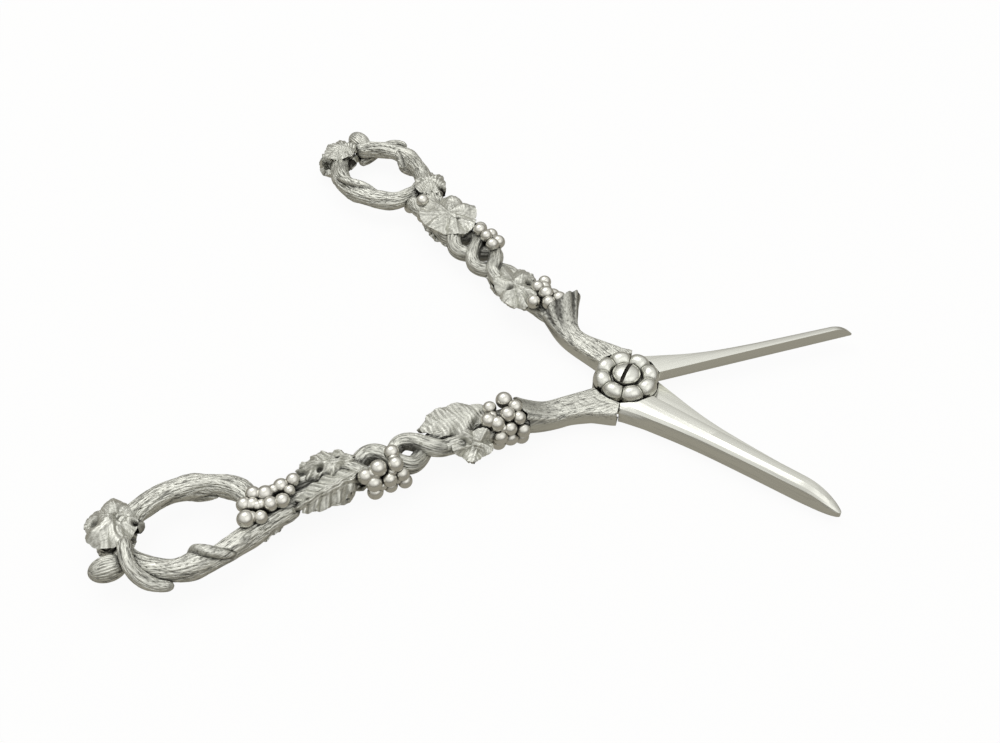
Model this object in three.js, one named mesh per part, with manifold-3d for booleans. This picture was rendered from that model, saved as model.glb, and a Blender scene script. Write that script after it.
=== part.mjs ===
// Silver grape shears: two vine-branch handles that cross on one screw, and a narrow blade that shuts into
// the rebate of a wide one. Millimetres, +Z up. The origin is on the pivot axis, at the flat underside.
import * as THREE from 'three';
import { mergeVertices } from 'three/addons/utils/BufferGeometryUtils.js';
import Module from 'manifold-3d';

const wasm = await Module();
wasm.setup();

// Clearances
const FIT_GAP = 0.3; // between soldered or sliding neighbours
const BLADE_GAP = 0.4; // from the narrow blade to the rebate's wall when shut

// Angles of the shears lying open, in degrees
const HANDLE_ANGLE = 143.5; // from +X to either handle's axis
const REBATE_ANGLE = -24.1; // direction of the wide blade's rebate
const CLOSING_ANGLE = 56; // swing of one arm against the other until they are shut
const STOP_ANGLE = 90; // from +X to the middle of either stop
const STOP_OPENING = 3; // left between the two faces of a stop

// Lap joint and tang
const ARM_THICKNESS = 4.5;
const LAP_RADIUS = 8;
const LAP_HEIGHT = 1.8; // from the underside to where the two halves of the lap meet
const LAP_TOP = 3.3; // floor of the seat for the rosette
const TANG_LENGTH = 7;
const TANG_WIDTH = 3.2;
const TANG_THICKNESS = 0.9;
const UPPER_TANG_OUT = 3.2; // from the handle's axis, outwards
const LOWER_TANG_OUT = 1.6;

// Pivot screw and rosette washer
const SCREW_RADIUS = 2;
const SCREW_HEAD_RADIUS = 3.3;
const SCREW_HEAD_EDGE = 0.9;
const SCREW_DOME = 1.5;
const SCREW_SLOT_WIDTH = 0.9;
const SCREW_SLOT_DEPTH = 1;
const SCREW_SLOT_ANGLE = 78;
const ROSETTE_RADIUS = 7.55;
const ROSETTE_LOBES = 8;
const ROSETTE_BASE = 0.9; // thickness of the washer under the lobes
const ROSETTE_HEIGHT = 3;
const LOBE_HALF_WIDTH = 2.9;
const HEAD_CLEARANCE = 0.45; // ring round the sunk screw head

// Blades, measured along each from the pivot
const BLADE_START = 2;
const ROOT_AT = 7;
const KNEE_AT = 22;
const NARROW_LENGTH = 57.2;
const NARROW_THICKNESS = 3;
const NARROW_PAST_PIVOT = 0.75; // cutting face beyond the pivot's centre line
const NARROW_START_WIDTH = 8.6;
const NARROW_ROOT_WIDTH = 6.4;
const NARROW_KNEE_WIDTH = 3.35;
const NARROW_END_WIDTH = 1.95;
const NARROW_NOSE = 5; // length of the rounded tip
const NARROW_TIP_FALL = 1.4; // drop of the top face over the nose
const WIDE_LENGTH = 55;
const WIDE_START_WIDTH = 8.9;
const WIDE_ROOT_WIDTH = 7;
const WIDE_KNEE_WIDTH = 4.5;
const WIDE_END_WIDTH = 3.3;
const WIDE_NOSE = 7;
const WIDE_TIP_INSET = 1.5; // tip's distance from the rebate's wall
const LEDGE_INSET = 3.2; // from the wide blade's tip back to the ledge's end
const LEDGE_NOSE = 15;
const LEDGE_ROOT = 0.6; // overlap of the ledge with the bar that carries it
const BLADE_BEVEL = 0.6;
const WIDE_BELLY = 0.35; // swell of the wide blade's back

// Trunks: the bark shank of each arm, from the lap to the flared collar
const TRUNK_START = 3;
const TRUNK_LENGTH = 25.5;
const WAIST_AT = 17;
const UPPER_SHOULDER_WIDTH = 9.8;
const UPPER_SHOULDER_OUT = 4.6;
const UPPER_WAIST_WIDTH = 6.3;
const UPPER_WAIST_OUT = 2.3;
const UPPER_RIM_WIDTH = 8.4;
const UPPER_RIM_OUT = 1;
const UPPER_RIM_HEIGHT = 7.4;
const UPPER_RIM_RISE = 1.4; // from the arms' middle plane
const LOWER_SHOULDER_WIDTH = 9;
const LOWER_SHOULDER_OUT = 3.6;
const LOWER_WAIST_WIDTH = 5.2;
const LOWER_WAIST_OUT = 0.5;
const LOWER_RIM_WIDTH = 11.4;
const LOWER_RIM_OUT = 2.9;
const LOWER_RIM_HEIGHT = 8.8;
const LOWER_RIM_RISE = 1.9;

// Vine stems from the collar to the neck of the loop
const HANDLE_RISE = 1.8; // of the vine work over the arms' middle plane
const STEM_LENGTH = 58.3;
const STEM_RADIUS = 1.9;
const STEM_SPREAD = 2; // half the distance between the stems
const TWIST_SPREAD = 3.1; // the same where they part round an eye
const TWIST_AT = 19.5; // from the collar to the start of the twist
const TWIST_END = 14.8; // from the end of the twist to the neck
const TWIST_TURNS = 1.5;
const COLLAR_OUT = 1.3; // stems' axis from the handle's axis at the collar
const NECK_OUT = 4.3; // the same at the neck

// Finger loop
const LOOP_LENGTH = 31.6; // outside of the branches
const LOOP_WIDTH = 25.2;
const LOOP_OUT = 3.3;
const BRANCH_RADIUS = 2.5;
const BRANCH_END_RADIUS = 2.2;
const INNER_BRANCH_FROM = 215; // degrees round the loop from its far end, by the inner side
const INNER_BRANCH_TO = 4;
const OUTER_BRANCH_FROM = 118; // degrees, by the outer side
const OUTER_BRANCH_TO = 4;
const OUTER_BRANCH_ROOT = 6; // from the neck back to where the outer branch leaves the stems
const OUTER_BRANCH_ROOT_OUT = 3.8; // from the loop's middle line
const OUTER_BRANCH_ROOT_RADIUS = 1.6;

// Grapes
const GRAPE_RADIUS = 1.9;
const GRAPE_PITCH = 3.1; // between neighbouring grapes, so that they sink into each other
const COLLAR_GRAPES_OUT = 1.9;
const COLLAR_GRAPES_AROUND = 7; // in a full ring
const MIDDLE_GRAPES_AT = 1.7; // past the middle of the twist
const MIDDLE_GRAPES_REACH = 5.1; // from the stems' axis
const MIDDLE_GRAPES_LEAN = 12; // degrees from straight outwards towards the first face
const NECK_GRAPES_AT = 0.3; // before the neck
const NECK_GRAPES_OUT = 6;
const NECK_GRAPES_LIFT = 3;
const NECK_GRAPES_TURN = 24;
const NECK_GRAPE_AT = 4.3;
const NECK_GRAPE_OUT = 2.8;

// Nut bud and hooked tendril at the loop's far end
const NUT_LENGTH = 7.6;
const NUT_RADIUS = 2.6;
const NUT_OUT = 4.3; // from the loop's middle line
const NUT_REACH = 0.7; // from the loop's outside to the nut's middle
const TENDRIL_RADIUS = 1.4;
const TENDRIL_SUNK = 0.8; // depth that it is let into the branch
const TENDRIL_FROM = 72; // degrees round the loop
const TENDRIL_TO = 6;
const TENDRIL_LOW = -10; // degrees round the branch, from its outer side up
const TENDRIL_HIGH = 105;

// Leaves
const LEAF_THICKNESS = 1.1;
const LEAF_HEART = 0.4; // share of the outline kept by the flat heart of the leaf
const LEAF_RIPPLE = 0.35; // rise of a lobe over the notches beside it
const RIB_LEAF_AT = 15.4; // from the collar
const CURL_LEAF_AT = 14;
const SHOOT_LEAF_AT = 12.5;
const EDGE_LEAF_AT = 13.8; // before the neck
const SCALLOP_LEAF_AT = 12.8;
const VINE_LEAF_AT = 13.3;
const NECK_LEAF_AT = 1.4; // past the neck
const END_LEAF_AT = 1.8; // before the loop's far end
const SHELL_LEAF_AT = 2.2;

// Facets
const ROUND_SIDES = 24;
const STEM_SIDES = 6;
const STEM_STEPS = 22;
const BRANCH_SIDES = 8;
const BRANCH_STEPS = 13;
const TENDRIL_SIDES = 6;
const TENDRIL_STEPS = 9;
const TRUNK_SIDES = 16;
const TRUNK_STEPS = 8;
const BLADE_STEPS = 13;
const NUT_SIDES = 10;
const NUT_STEPS = 6;
const LOBE_SIDES = 8;
const DOME_STEPS = 4;
const POINTS_PER_LOBE = 2;
const GRAPE_SIDES = 6;
const GRAPE_STEPS = 4;
const SHOULDER_ROUNDNESS = 0.3; // of a trunk's section, from 0 for a box to 1 for an oval
const COLLAR_ROUNDNESS = 0.8;

// What follows from the sizes
const MID_HEIGHT = ARM_THICKNESS / 2;
const UPPER_TANG_HEIGHT = LAP_HEIGHT + (FIT_GAP + TANG_THICKNESS) / 2;
const LOWER_TANG_HEIGHT = LAP_HEIGHT - (FIT_GAP + TANG_THICKNESS) / 2;
const NARROW_ANGLE = REBATE_ANGLE + CLOSING_ANGLE;
const REBATE_WALL = -(NARROW_PAST_PIVOT + BLADE_GAP);
const NARROW_BOTTOM = ARM_THICKNESS - NARROW_THICKNESS;
const LEDGE_TOP = NARROW_BOTTOM - FIT_GAP;
const LEDGE_LENGTH = WIDE_LENGTH - LEDGE_INSET;
const COLLAR_AT = TRUNK_LENGTH;
const NECK_AT = COLLAR_AT + STEM_LENGTH;
const TWIST_FROM = COLLAR_AT + TWIST_AT;
const TWIST_LENGTH = NECK_AT - TWIST_END - TWIST_FROM;
const LOOP_MIDDLE = NECK_AT + LOOP_LENGTH / 2;
const LOOP_HALF_LENGTH = LOOP_LENGTH / 2 - BRANCH_RADIUS;
const LOOP_HALF_WIDTH = LOOP_WIDTH / 2 - BRANCH_RADIUS;
const LOOP_END = NECK_AT + LOOP_LENGTH;
const CUT_SPAN = 4 * LOOP_END;

// Each leaf: its middle, roll about its midrib and turn in its plane; half length and half breadth, lobes, depth
// of the notches as a share, and fall of the edge from the heart
const RIB_LEAF = {
  along: COLLAR_AT + RIB_LEAF_AT, out: -1.4, lift: 2.6, roll: -16, yaw: -4,
  reach: 7.4, breadth: 3.7, lobes: 7, notch: 0.14, droop: 1.1,
};
const CURL_LEAF = {
  along: COLLAR_AT + CURL_LEAF_AT, out: 6, lift: 0.9, roll: -30, yaw: 0,
  reach: 4.5, breadth: 3.7, lobes: 5, notch: 0.2, droop: 1.2,
};
const SHOOT_LEAF = {
  along: COLLAR_AT + SHOOT_LEAF_AT, out: -0.8, lift: -3.2, roll: -8, yaw: 18,
  reach: 8.2, breadth: 4.9, lobes: 5, notch: 0.2, droop: 1.2,
};
const EDGE_LEAF = {
  along: NECK_AT - EDGE_LEAF_AT, out: 0.7, lift: 2.9, roll: -10, yaw: -4,
  reach: 6.4, breadth: 3.5, lobes: 7, notch: 0.2, droop: 1.1,
};
const SCALLOP_LEAF = {
  along: NECK_AT - SCALLOP_LEAF_AT, out: 6.8, lift: 2.1, roll: -26, yaw: 15,
  reach: 8, breadth: 3.3, lobes: 7, notch: 0.16, droop: 1.1,
};
const VINE_LEAF = {
  along: NECK_AT - VINE_LEAF_AT, out: 4.2, lift: -3.3, roll: 0, yaw: 0,
  reach: 8.8, breadth: 6.9, lobes: 5, notch: 0.2, droop: 1.3,
};
const NECK_LEAF = {
  along: NECK_AT + NECK_LEAF_AT, out: 9.4, lift: -(BRANCH_RADIUS + LEAF_THICKNESS / 2), roll: 0, yaw: 30,
  reach: 5.2, breadth: 4.2, lobes: 5, notch: 0.18, droop: 1.2,
};
const END_LEAF = {
  along: LOOP_END - END_LEAF_AT, out: -1.2, lift: BRANCH_END_RADIUS + 3 * FIT_GAP, roll: 0, yaw: 0,
  reach: 5.3, breadth: 6.1, lobes: 5, notch: 0.18, droop: 0.8,
};
const SHELL_LEAF = {
  along: LOOP_END - SHELL_LEAF_AT, out: -0.4, lift: -(BRANCH_END_RADIUS + 3 * FIT_GAP), roll: 0, yaw: 0,
  reach: 4.6, breadth: 4.8, lobes: 5, notch: 0.12, droop: 0.8,
};

const radians = THREE.MathUtils.degToRad;
const { lerp, smoothstep } = THREE.MathUtils;

// Turns a closed three.js geometry into a solid for joining and cutting
function solid(geometry) {
  const bare = geometry.clone();
  bare.deleteAttribute('normal');
  bare.deleteAttribute('uv');
  const merged = mergeVertices(bare);
  const corners = merged.index.array;
  const kept = [];
  for (let at = 0; at < corners.length; at += 3) {
    const [a, b, c] = corners.slice(at, at + 3);
    if (a !== b && b !== c && c !== a) kept.push(a, b, c);
  }
  return new wasm.Manifold(new wasm.Mesh({
    numProp: 3,
    vertProperties: new Float32Array(merged.attributes.position.array),
    triVerts: new Uint32Array(kept),
  }));
}

// Turns a solid back into a geometry, in flat facets
function geometryOf(body) {
  const { vertProperties, triVerts, numProp } = body.getMesh();
  const geometry = new THREE.BufferGeometry();
  geometry.setAttribute('position', new THREE.BufferAttribute(vertProperties, numProp));
  geometry.setIndex(new THREE.BufferAttribute(triVerts, 1));
  geometry.computeVertexNormals();
  return geometry;
}

// The largest of the bodies that a cut leaves
function mainBody(body) {
  const bodies = body.decompose();
  return bodies.reduce((largest, next) => (next.volume() > largest.volume() ? next : largest));
}

// A closed body through rings of points that run round it alike, with a flat cap on each end
function loft(rings) {
  const around = rings[0].length;
  const last = (rings.length - 1) * around;
  const corners = [];
  for (let start = 0; start < last; start += around) {
    for (let side = 0; side < around; side += 1) {
      const next = (side + 1) % around;
      corners.push(start + side, start + next, start + around + next);
      corners.push(start + side, start + around + next, start + around + side);
    }
  }
  for (let side = 1; side < around - 1; side += 1) {
    corners.push(0, side + 1, side);
    corners.push(last, last + side, last + side + 1);
  }
  const geometry = new THREE.BufferGeometry().setFromPoints(rings.flat());
  geometry.setIndex(corners);
  return solid(geometry);
}

// A round tube along a curve, with a radius that may change from end to end
function tube(curve, radiusAt, sides, steps) {
  const { normals, binormals } = curve.computeFrenetFrames(steps);
  return loft(normals.map((normal, step) => {
    const middle = curve.getPointAt(step / steps);
    const radius = radiusAt(step / steps);
    return Array.from({ length: sides }, (unused, side) => {
      const turn = (2 * Math.PI * side) / sides;
      return middle.clone()
        .addScaledVector(normal, radius * Math.cos(turn))
        .addScaledVector(binormals[step], radius * Math.sin(turn));
    });
  }));
}

// An upright round post on the pivot axis
function post(radius, bottom, top) {
  const shape = new THREE.CylinderGeometry(radius, radius, top - bottom, ROUND_SIDES);
  shape.rotateX(Math.PI / 2);
  shape.translate(0, 0, (bottom + top) / 2);
  return solid(shape);
}

// Everything on one side of an upright plane through the pivot axis: side 1 lies to the left of its direction
function halfSpace(angle, side) {
  const shape = new THREE.BoxGeometry(CUT_SPAN, CUT_SPAN, CUT_SPAN);
  shape.translate(0, (side * CUT_SPAN) / 2, 0);
  shape.rotateZ(radians(angle));
  return solid(shape);
}

// How much of its width a blade keeps on the rounded nose before its tip
function noseShare(along, length, nose) {
  const past = Math.max(0, (along - (length - nose)) / nose);
  return Math.sqrt(Math.max(0, 1 - past * past));
}

// Stations down a blade's edge as points (along, width), from a spline through root, knee and end
function bladeEdge(startWidth, rootWidth, kneeWidth, endWidth, length, nose) {
  const edge = new THREE.SplineCurve([
    new THREE.Vector2(BLADE_START, startWidth),
    new THREE.Vector2(ROOT_AT, rootWidth),
    new THREE.Vector2(KNEE_AT, kneeWidth),
    new THREE.Vector2(length - nose, endWidth),
  ]);
  const body = edge.getPoints(BLADE_STEPS);
  const tip = Array.from({ length: DOME_STEPS }, (unused, step) => {
    const along = length - nose * (1 - Math.sin(((step + 0.9) / DOME_STEPS) * (Math.PI / 2)));
    return new THREE.Vector2(along, endWidth * noseShare(along, length, nose));
  });
  return body.concat(tip);
}

const narrowEdge = bladeEdge(
  NARROW_START_WIDTH, NARROW_ROOT_WIDTH, NARROW_KNEE_WIDTH, NARROW_END_WIDTH, NARROW_LENGTH, NARROW_NOSE,
);
const wideEdge = bladeEdge(
  WIDE_START_WIDTH, WIDE_ROOT_WIDTH, WIDE_KNEE_WIDTH, WIDE_END_WIDTH, WIDE_LENGTH, WIDE_NOSE,
);

// The narrow blade's width at any distance along it
function narrowWidth(along) {
  const next = Math.max(1, narrowEdge.findIndex(({ x }) => x >= along));
  const before = narrowEdge[next - 1];
  const after = narrowEdge[next];
  return lerp(before.y, after.y, (along - before.x) / (after.x - before.x));
}

// A closed section of a blade at one station, from corners (across, up)
function bladeSection(along, corners) {
  return corners.map(([across, up]) => new THREE.Vector3(along, across, up));
}

// The narrow blade's bar: upright cutting face, flat top that falls to the tip, and bevelled back
function narrowBar() {
  return loft(narrowEdge.map(({ x, y }) => {
    const bevel = Math.min(BLADE_BEVEL, y / 3);
    const back = y - NARROW_PAST_PIVOT;
    const top = ARM_THICKNESS - NARROW_TIP_FALL * (1 - noseShare(x, NARROW_LENGTH, NARROW_NOSE) ** 2);
    return bladeSection(x, [
      [-NARROW_PAST_PIVOT, NARROW_BOTTOM],
      [back, NARROW_BOTTOM],
      [back, top - bevel],
      [back - bevel, top],
      [-NARROW_PAST_PIVOT, top],
    ]);
  }));
}

// The wide blade's bar outside the rebate: flat top, rolled back, nose drawn down to the tip
function wideBar() {
  return loft(wideEdge.map(({ x, y }) => {
    const share = noseShare(x, WIDE_LENGTH, WIDE_NOSE);
    const inner = REBATE_WALL - WIDE_TIP_INSET * (1 - share);
    const top = lerp(LEDGE_TOP, ARM_THICKNESS, share ** 2);
    return bladeSection(x, [
      [inner - y, 0],
      [inner, 0],
      [inner, top],
      [inner - y, top],
      [inner - y - WIDE_BELLY * share, top / 2],
    ]);
  }));
}

// The wide blade's ledge, the floor of the rebate that the narrow blade shuts down on
function wideLedge() {
  return loft(Array.from({ length: BLADE_STEPS + 1 }, (unused, step) => {
    const along = lerp(BLADE_START, LEDGE_LENGTH, step / BLADE_STEPS);
    const reach = (narrowWidth(along) + BLADE_GAP) * noseShare(along, LEDGE_LENGTH, LEDGE_NOSE);
    return bladeSection(along, [
      [REBATE_WALL - LEDGE_ROOT, 0],
      [REBATE_WALL + reach, 0],
      [REBATE_WALL + reach, LEDGE_TOP],
      [REBATE_WALL - LEDGE_ROOT, LEDGE_TOP],
    ]);
  }));
}

// A tang's bar along the handle's direction, or its socket when grown
function tangBar(out, height, grow) {
  const end = LAP_RADIUS + TANG_LENGTH + grow;
  const shape = new THREE.BoxGeometry(end, TANG_WIDTH + 2 * grow, TANG_THICKNESS + 2 * grow);
  return shape.translate(end / 2, out, height);
}

// A tang in its blade's own frame, turned from the handle's direction
function tang(out, height, angle) {
  return solid(tangBar(out, height, 0).rotateZ(radians(angle)));
}

// The upper arm's blade: bar, upper half of the lap, tang and screw hole
function narrowBlade() {
  const lapBottom = LAP_HEIGHT + FIT_GAP / 2;
  const stop = STOP_ANGLE - STOP_OPENING / 2 - NARROW_ANGLE;
  return narrowBar()
    .subtract(halfSpace(stop, 1))
    .subtract(post(LAP_RADIUS + FIT_GAP, 0, lapBottom))
    .subtract(post(LAP_RADIUS + FIT_GAP, LAP_TOP, ARM_THICKNESS + FIT_GAP))
    .add(post(LAP_RADIUS, lapBottom, LAP_TOP))
    .add(tang(UPPER_TANG_OUT, UPPER_TANG_HEIGHT, -HANDLE_ANGLE - NARROW_ANGLE))
    .subtract(post(SCREW_RADIUS + FIT_GAP, 0, ARM_THICKNESS + FIT_GAP));
}

// The lower arm's blade: bar and ledge, lower half of the lap, tang and screw hole
function wideBlade() {
  const lapTop = LAP_HEIGHT - FIT_GAP / 2;
  const stop = STOP_OPENING / 2 - STOP_ANGLE - REBATE_ANGLE;
  return wideBar()
    .add(wideLedge())
    .subtract(halfSpace(stop, -1))
    .subtract(post(LAP_RADIUS + FIT_GAP, lapTop, ARM_THICKNESS + FIT_GAP))
    .add(post(LAP_RADIUS, 0, lapTop))
    .add(tang(-LOWER_TANG_OUT, LOWER_TANG_HEIGHT, HANDLE_ANGLE - REBATE_ANGLE))
    .subtract(post(SCREW_RADIUS + FIT_GAP, -FIT_GAP, ARM_THICKNESS));
}

// One boxy oval section of a trunk
function trunkSection(along, out, rise, width, height, roundness) {
  return Array.from({ length: TRUNK_SIDES }, (unused, side) => {
    const turn = (2 * Math.PI * (side + 0.5)) / TRUNK_SIDES;
    const across = Math.sign(Math.cos(turn)) * Math.abs(Math.cos(turn)) ** roundness;
    const up = Math.sign(Math.sin(turn)) * Math.abs(Math.sin(turn)) ** roundness;
    return new THREE.Vector3(along, out + (across * width) / 2, rise + (up * height) / 2);
  });
}

// A trunk in the handle's frame: shoulder by the lap, waist, flared collar; cut for the lap, stop and tang
function trunk(sizes, grow) {
  const { shoulder, waist, rim, tangOut, tangLift, drop } = sizes;
  const rings = Array.from({ length: TRUNK_STEPS + 1 }, (unused, step) => {
    const along = lerp(TRUNK_START, TRUNK_LENGTH, step / TRUNK_STEPS);
    const narrowing = smoothstep(along, TRUNK_START, WAIST_AT);
    const flare = Math.max(0, (along - WAIST_AT) / (TRUNK_LENGTH - WAIST_AT)) ** 2;
    const width = lerp(shoulder.width, waist.width, narrowing) + flare * (rim.width - waist.width);
    const out = lerp(shoulder.out, waist.out, narrowing) + flare * (rim.out - waist.out);
    const height = lerp(ARM_THICKNESS, rim.height, flare);
    const rise = drop + flare * rim.rise;
    const roundness = lerp(SHOULDER_ROUNDNESS, COLLAR_ROUNDNESS, narrowing);
    const end = step === TRUNK_STEPS ? grow : 0;
    return trunkSection(along + end, out, rise, width + 2 * grow, height + 2 * grow, roundness);
  });
  const stop = HANDLE_ANGLE - STOP_ANGLE - STOP_OPENING / 2;
  return loft(rings)
    .subtract(post(LAP_RADIUS + FIT_GAP, -CUT_SPAN, CUT_SPAN))
    .subtract(halfSpace(stop, 1))
    .subtract(solid(tangBar(tangOut, drop + tangLift, FIT_GAP)));
}

const upperTrunk = {
  shoulder: { width: UPPER_SHOULDER_WIDTH, out: UPPER_SHOULDER_OUT },
  waist: { width: UPPER_WAIST_WIDTH, out: UPPER_WAIST_OUT },
  rim: { width: UPPER_RIM_WIDTH, out: UPPER_RIM_OUT, height: UPPER_RIM_HEIGHT, rise: UPPER_RIM_RISE },
  tangOut: UPPER_TANG_OUT,
  tangLift: UPPER_TANG_HEIGHT - MID_HEIGHT,
  drop: -HANDLE_RISE,
};

// The lower arm's handle lies on its other face, so its collar rises the other way
const lowerTrunk = {
  shoulder: { width: LOWER_SHOULDER_WIDTH, out: LOWER_SHOULDER_OUT },
  waist: { width: LOWER_WAIST_WIDTH, out: LOWER_WAIST_OUT },
  rim: { width: LOWER_RIM_WIDTH, out: LOWER_RIM_OUT, height: LOWER_RIM_HEIGHT, rise: -LOWER_RIM_RISE },
  tangOut: LOWER_TANG_OUT,
  tangLift: MID_HEIGHT - LOWER_TANG_HEIGHT,
  drop: HANDLE_RISE,
};

// How far outwards the stems' common axis lies
function stemAxisOut(along) {
  const share = (along - COLLAR_AT) / STEM_LENGTH;
  return lerp(COLLAR_OUT, NECK_OUT, share ** 3);
}

// A vine stem: beside its twin at both ends, wound round it in between so that the pair parts in eyes
function stem(firstTurn, grow) {
  const from = COLLAR_AT + FIT_GAP;
  const to = NECK_AT - FIT_GAP;
  const points = Array.from({ length: STEM_STEPS + 1 }, (unused, step) => {
    const along = lerp(from, to, step / STEM_STEPS);
    const wound = THREE.MathUtils.clamp((along - TWIST_FROM) / TWIST_LENGTH, 0, 1);
    const turn = firstTurn + 2 * Math.PI * TWIST_TURNS * wound;
    const spread = lerp(STEM_SPREAD, TWIST_SPREAD, Math.sin(Math.PI * wound));
    const out = stemAxisOut(along) + spread * Math.cos(turn);
    return new THREE.Vector3(along, out, STEM_SPREAD * Math.sin(turn));
  });
  return tube(new THREE.CatmullRomCurve3(points), () => STEM_RADIUS + grow, STEM_SIDES, STEM_STEPS);
}

// A point on the middle line of the finger loop, by its angle from the far end
function loopPoint(angle) {
  const out = LOOP_OUT + LOOP_HALF_WIDTH * Math.sin(angle);
  return new THREE.Vector3(LOOP_MIDDLE + LOOP_HALF_LENGTH * Math.cos(angle), out, 0);
}

// A branch's tube, thinner at its root and end
function branch(points, rootRadius, grow) {
  const radiusAt = (share) => (
    lerp(lerp(rootRadius, BRANCH_END_RADIUS, share), BRANCH_RADIUS, Math.sin(Math.PI * share)) + grow
  );
  return tube(new THREE.CatmullRomCurve3(points), radiusAt, BRANCH_SIDES, BRANCH_STEPS);
}

// Points round the loop between two angles
function loopArc(from, to) {
  return Array.from({ length: BRANCH_STEPS + 1 }, (unused, step) => (
    loopPoint(radians(lerp(from, to, step / BRANCH_STEPS)))
  ));
}

// The outer side of the loop: leaves the stems before the neck and sweeps round to the far end
function outerBranch(grow) {
  const root = new THREE.Vector3(NECK_AT - OUTER_BRANCH_ROOT, LOOP_OUT + OUTER_BRANCH_ROOT_OUT, 0);
  return branch([root, ...loopArc(OUTER_BRANCH_FROM, OUTER_BRANCH_TO)], OUTER_BRANCH_ROOT_RADIUS, grow);
}

// The inner side of the loop, from under the outer branch across the neck to the far end
function innerBranch(grow) {
  return branch(loopArc(-INNER_BRANCH_FROM, -INNER_BRANCH_TO), BRANCH_END_RADIUS, grow);
}

// Grapes at the given middles, grown together into one bunch
function bunch(middles, grow) {
  return middles
    .map((middle) => {
      const grape = new THREE.SphereGeometry(GRAPE_RADIUS + grow, GRAPE_SIDES, GRAPE_STEPS);
      grape.rotateX(Math.PI / 2);
      return solid(grape.translate(middle.x, middle.y, middle.z));
    })
    .reduce((joined, grape) => joined.add(grape));
}

// The collar's bunch: rows of grapes round the stems' outer side where they leave the trunk
function collarGrapes(grow) {
  const step = (2 * Math.PI) / COLLAR_GRAPES_AROUND;
  const ringRadius = GRAPE_PITCH / 2 / Math.sin(step / 2);
  const rowPitch = GRAPE_PITCH * Math.sin(Math.PI / 3);
  const rows = [5, 4, 3];
  const middles = rows.flatMap((count, row) => Array.from({ length: count }, (unused, place) => {
    const along = COLLAR_AT + FIT_GAP + GRAPE_RADIUS + row * rowPitch;
    const turn = step * (place - (count - 1) / 2);
    const out = COLLAR_GRAPES_OUT + ringRadius * Math.cos(turn);
    return new THREE.Vector3(along, out, ringRadius * Math.sin(turn));
  }));
  return bunch(middles, grow);
}

// Three rows of grapes in a close-packed patch: (along, across) from the patch's middle
function grapePatch() {
  const rows = [3, 3, 2];
  const rowPitch = GRAPE_PITCH * Math.sin(Math.PI / 3);
  return rows.flatMap((count, row) => Array.from({ length: count }, (unused, place) => (
    new THREE.Vector2((place - (count - 1) / 2) * GRAPE_PITCH, (row - 1) * rowPitch)
  )));
}

// The middle bunch, wrapped round the outer side of the twisted stems
function middleGrapes(grow) {
  const at = TWIST_FROM + TWIST_LENGTH / 2 + MIDDLE_GRAPES_AT;
  const middles = grapePatch().map(({ x, y }) => {
    const turn = radians(MIDDLE_GRAPES_LEAN) + y / MIDDLE_GRAPES_REACH;
    const out = stemAxisOut(at) + MIDDLE_GRAPES_REACH * Math.cos(turn);
    return new THREE.Vector3(at + x, out, MIDDLE_GRAPES_REACH * Math.sin(turn));
  });
  return bunch(middles, grow);
}

// The neck's bunch, lying over the first face where the stems run into the loop
function neckGrapes(grow) {
  const centre = new THREE.Vector2();
  const middles = grapePatch().map((place) => {
    const turned = place.rotateAround(centre, radians(NECK_GRAPES_TURN));
    const along = NECK_AT - NECK_GRAPES_AT + turned.x;
    return new THREE.Vector3(along, NECK_GRAPES_OUT + turned.y, NECK_GRAPES_LIFT);
  });
  return bunch(middles, grow);
}

// The single grape on the other face of the neck
function neckGrape(grow) {
  const lift = -(STEM_RADIUS + GRAPE_RADIUS / 2);
  return bunch([new THREE.Vector3(NECK_AT - NECK_GRAPE_AT, NECK_GRAPE_OUT, lift)], grow);
}

// The nut bud: a turned egg whose axis runs along the handle
function nut(grow) {
  const profile = Array.from({ length: NUT_STEPS + 1 }, (unused, step) => {
    const turn = (Math.PI * step) / NUT_STEPS;
    const radius = step % NUT_STEPS === 0 ? 0 : (NUT_RADIUS + grow) * Math.sin(turn);
    return new THREE.Vector2(radius, -(NUT_LENGTH / 2 + grow) * Math.cos(turn));
  });
  const shape = new THREE.LatheGeometry(profile, NUT_SIDES);
  shape.rotateZ(-Math.PI / 2);
  shape.translate(LOOP_END + NUT_REACH, LOOP_OUT + NUT_OUT, 0);
  return solid(shape);
}

// The hooked tendril, lying along the outer branch and climbing over it to the end leaf
function tendril(grow) {
  const clear = BRANCH_RADIUS + TENDRIL_RADIUS + FIT_GAP - TENDRIL_SUNK;
  const centre = loopPoint(Math.PI).lerp(loopPoint(0), 0.5);
  const points = Array.from({ length: TENDRIL_STEPS + 1 }, (unused, step) => {
    const share = step / TENDRIL_STEPS;
    const middle = loopPoint(radians(lerp(TENDRIL_FROM, TENDRIL_TO, share)));
    const outwards = middle.clone().sub(centre).normalize();
    const climb = radians(lerp(TENDRIL_LOW, TENDRIL_HIGH, smoothstep(share, 0, 1)));
    return middle
      .addScaledVector(outwards, clear * Math.cos(climb))
      .add(new THREE.Vector3(0, 0, clear * Math.sin(climb)));
  });
  return tube(new THREE.CatmullRomCurve3(points), () => TENDRIL_RADIUS + grow, TENDRIL_SIDES, TENDRIL_STEPS);
}

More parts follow.
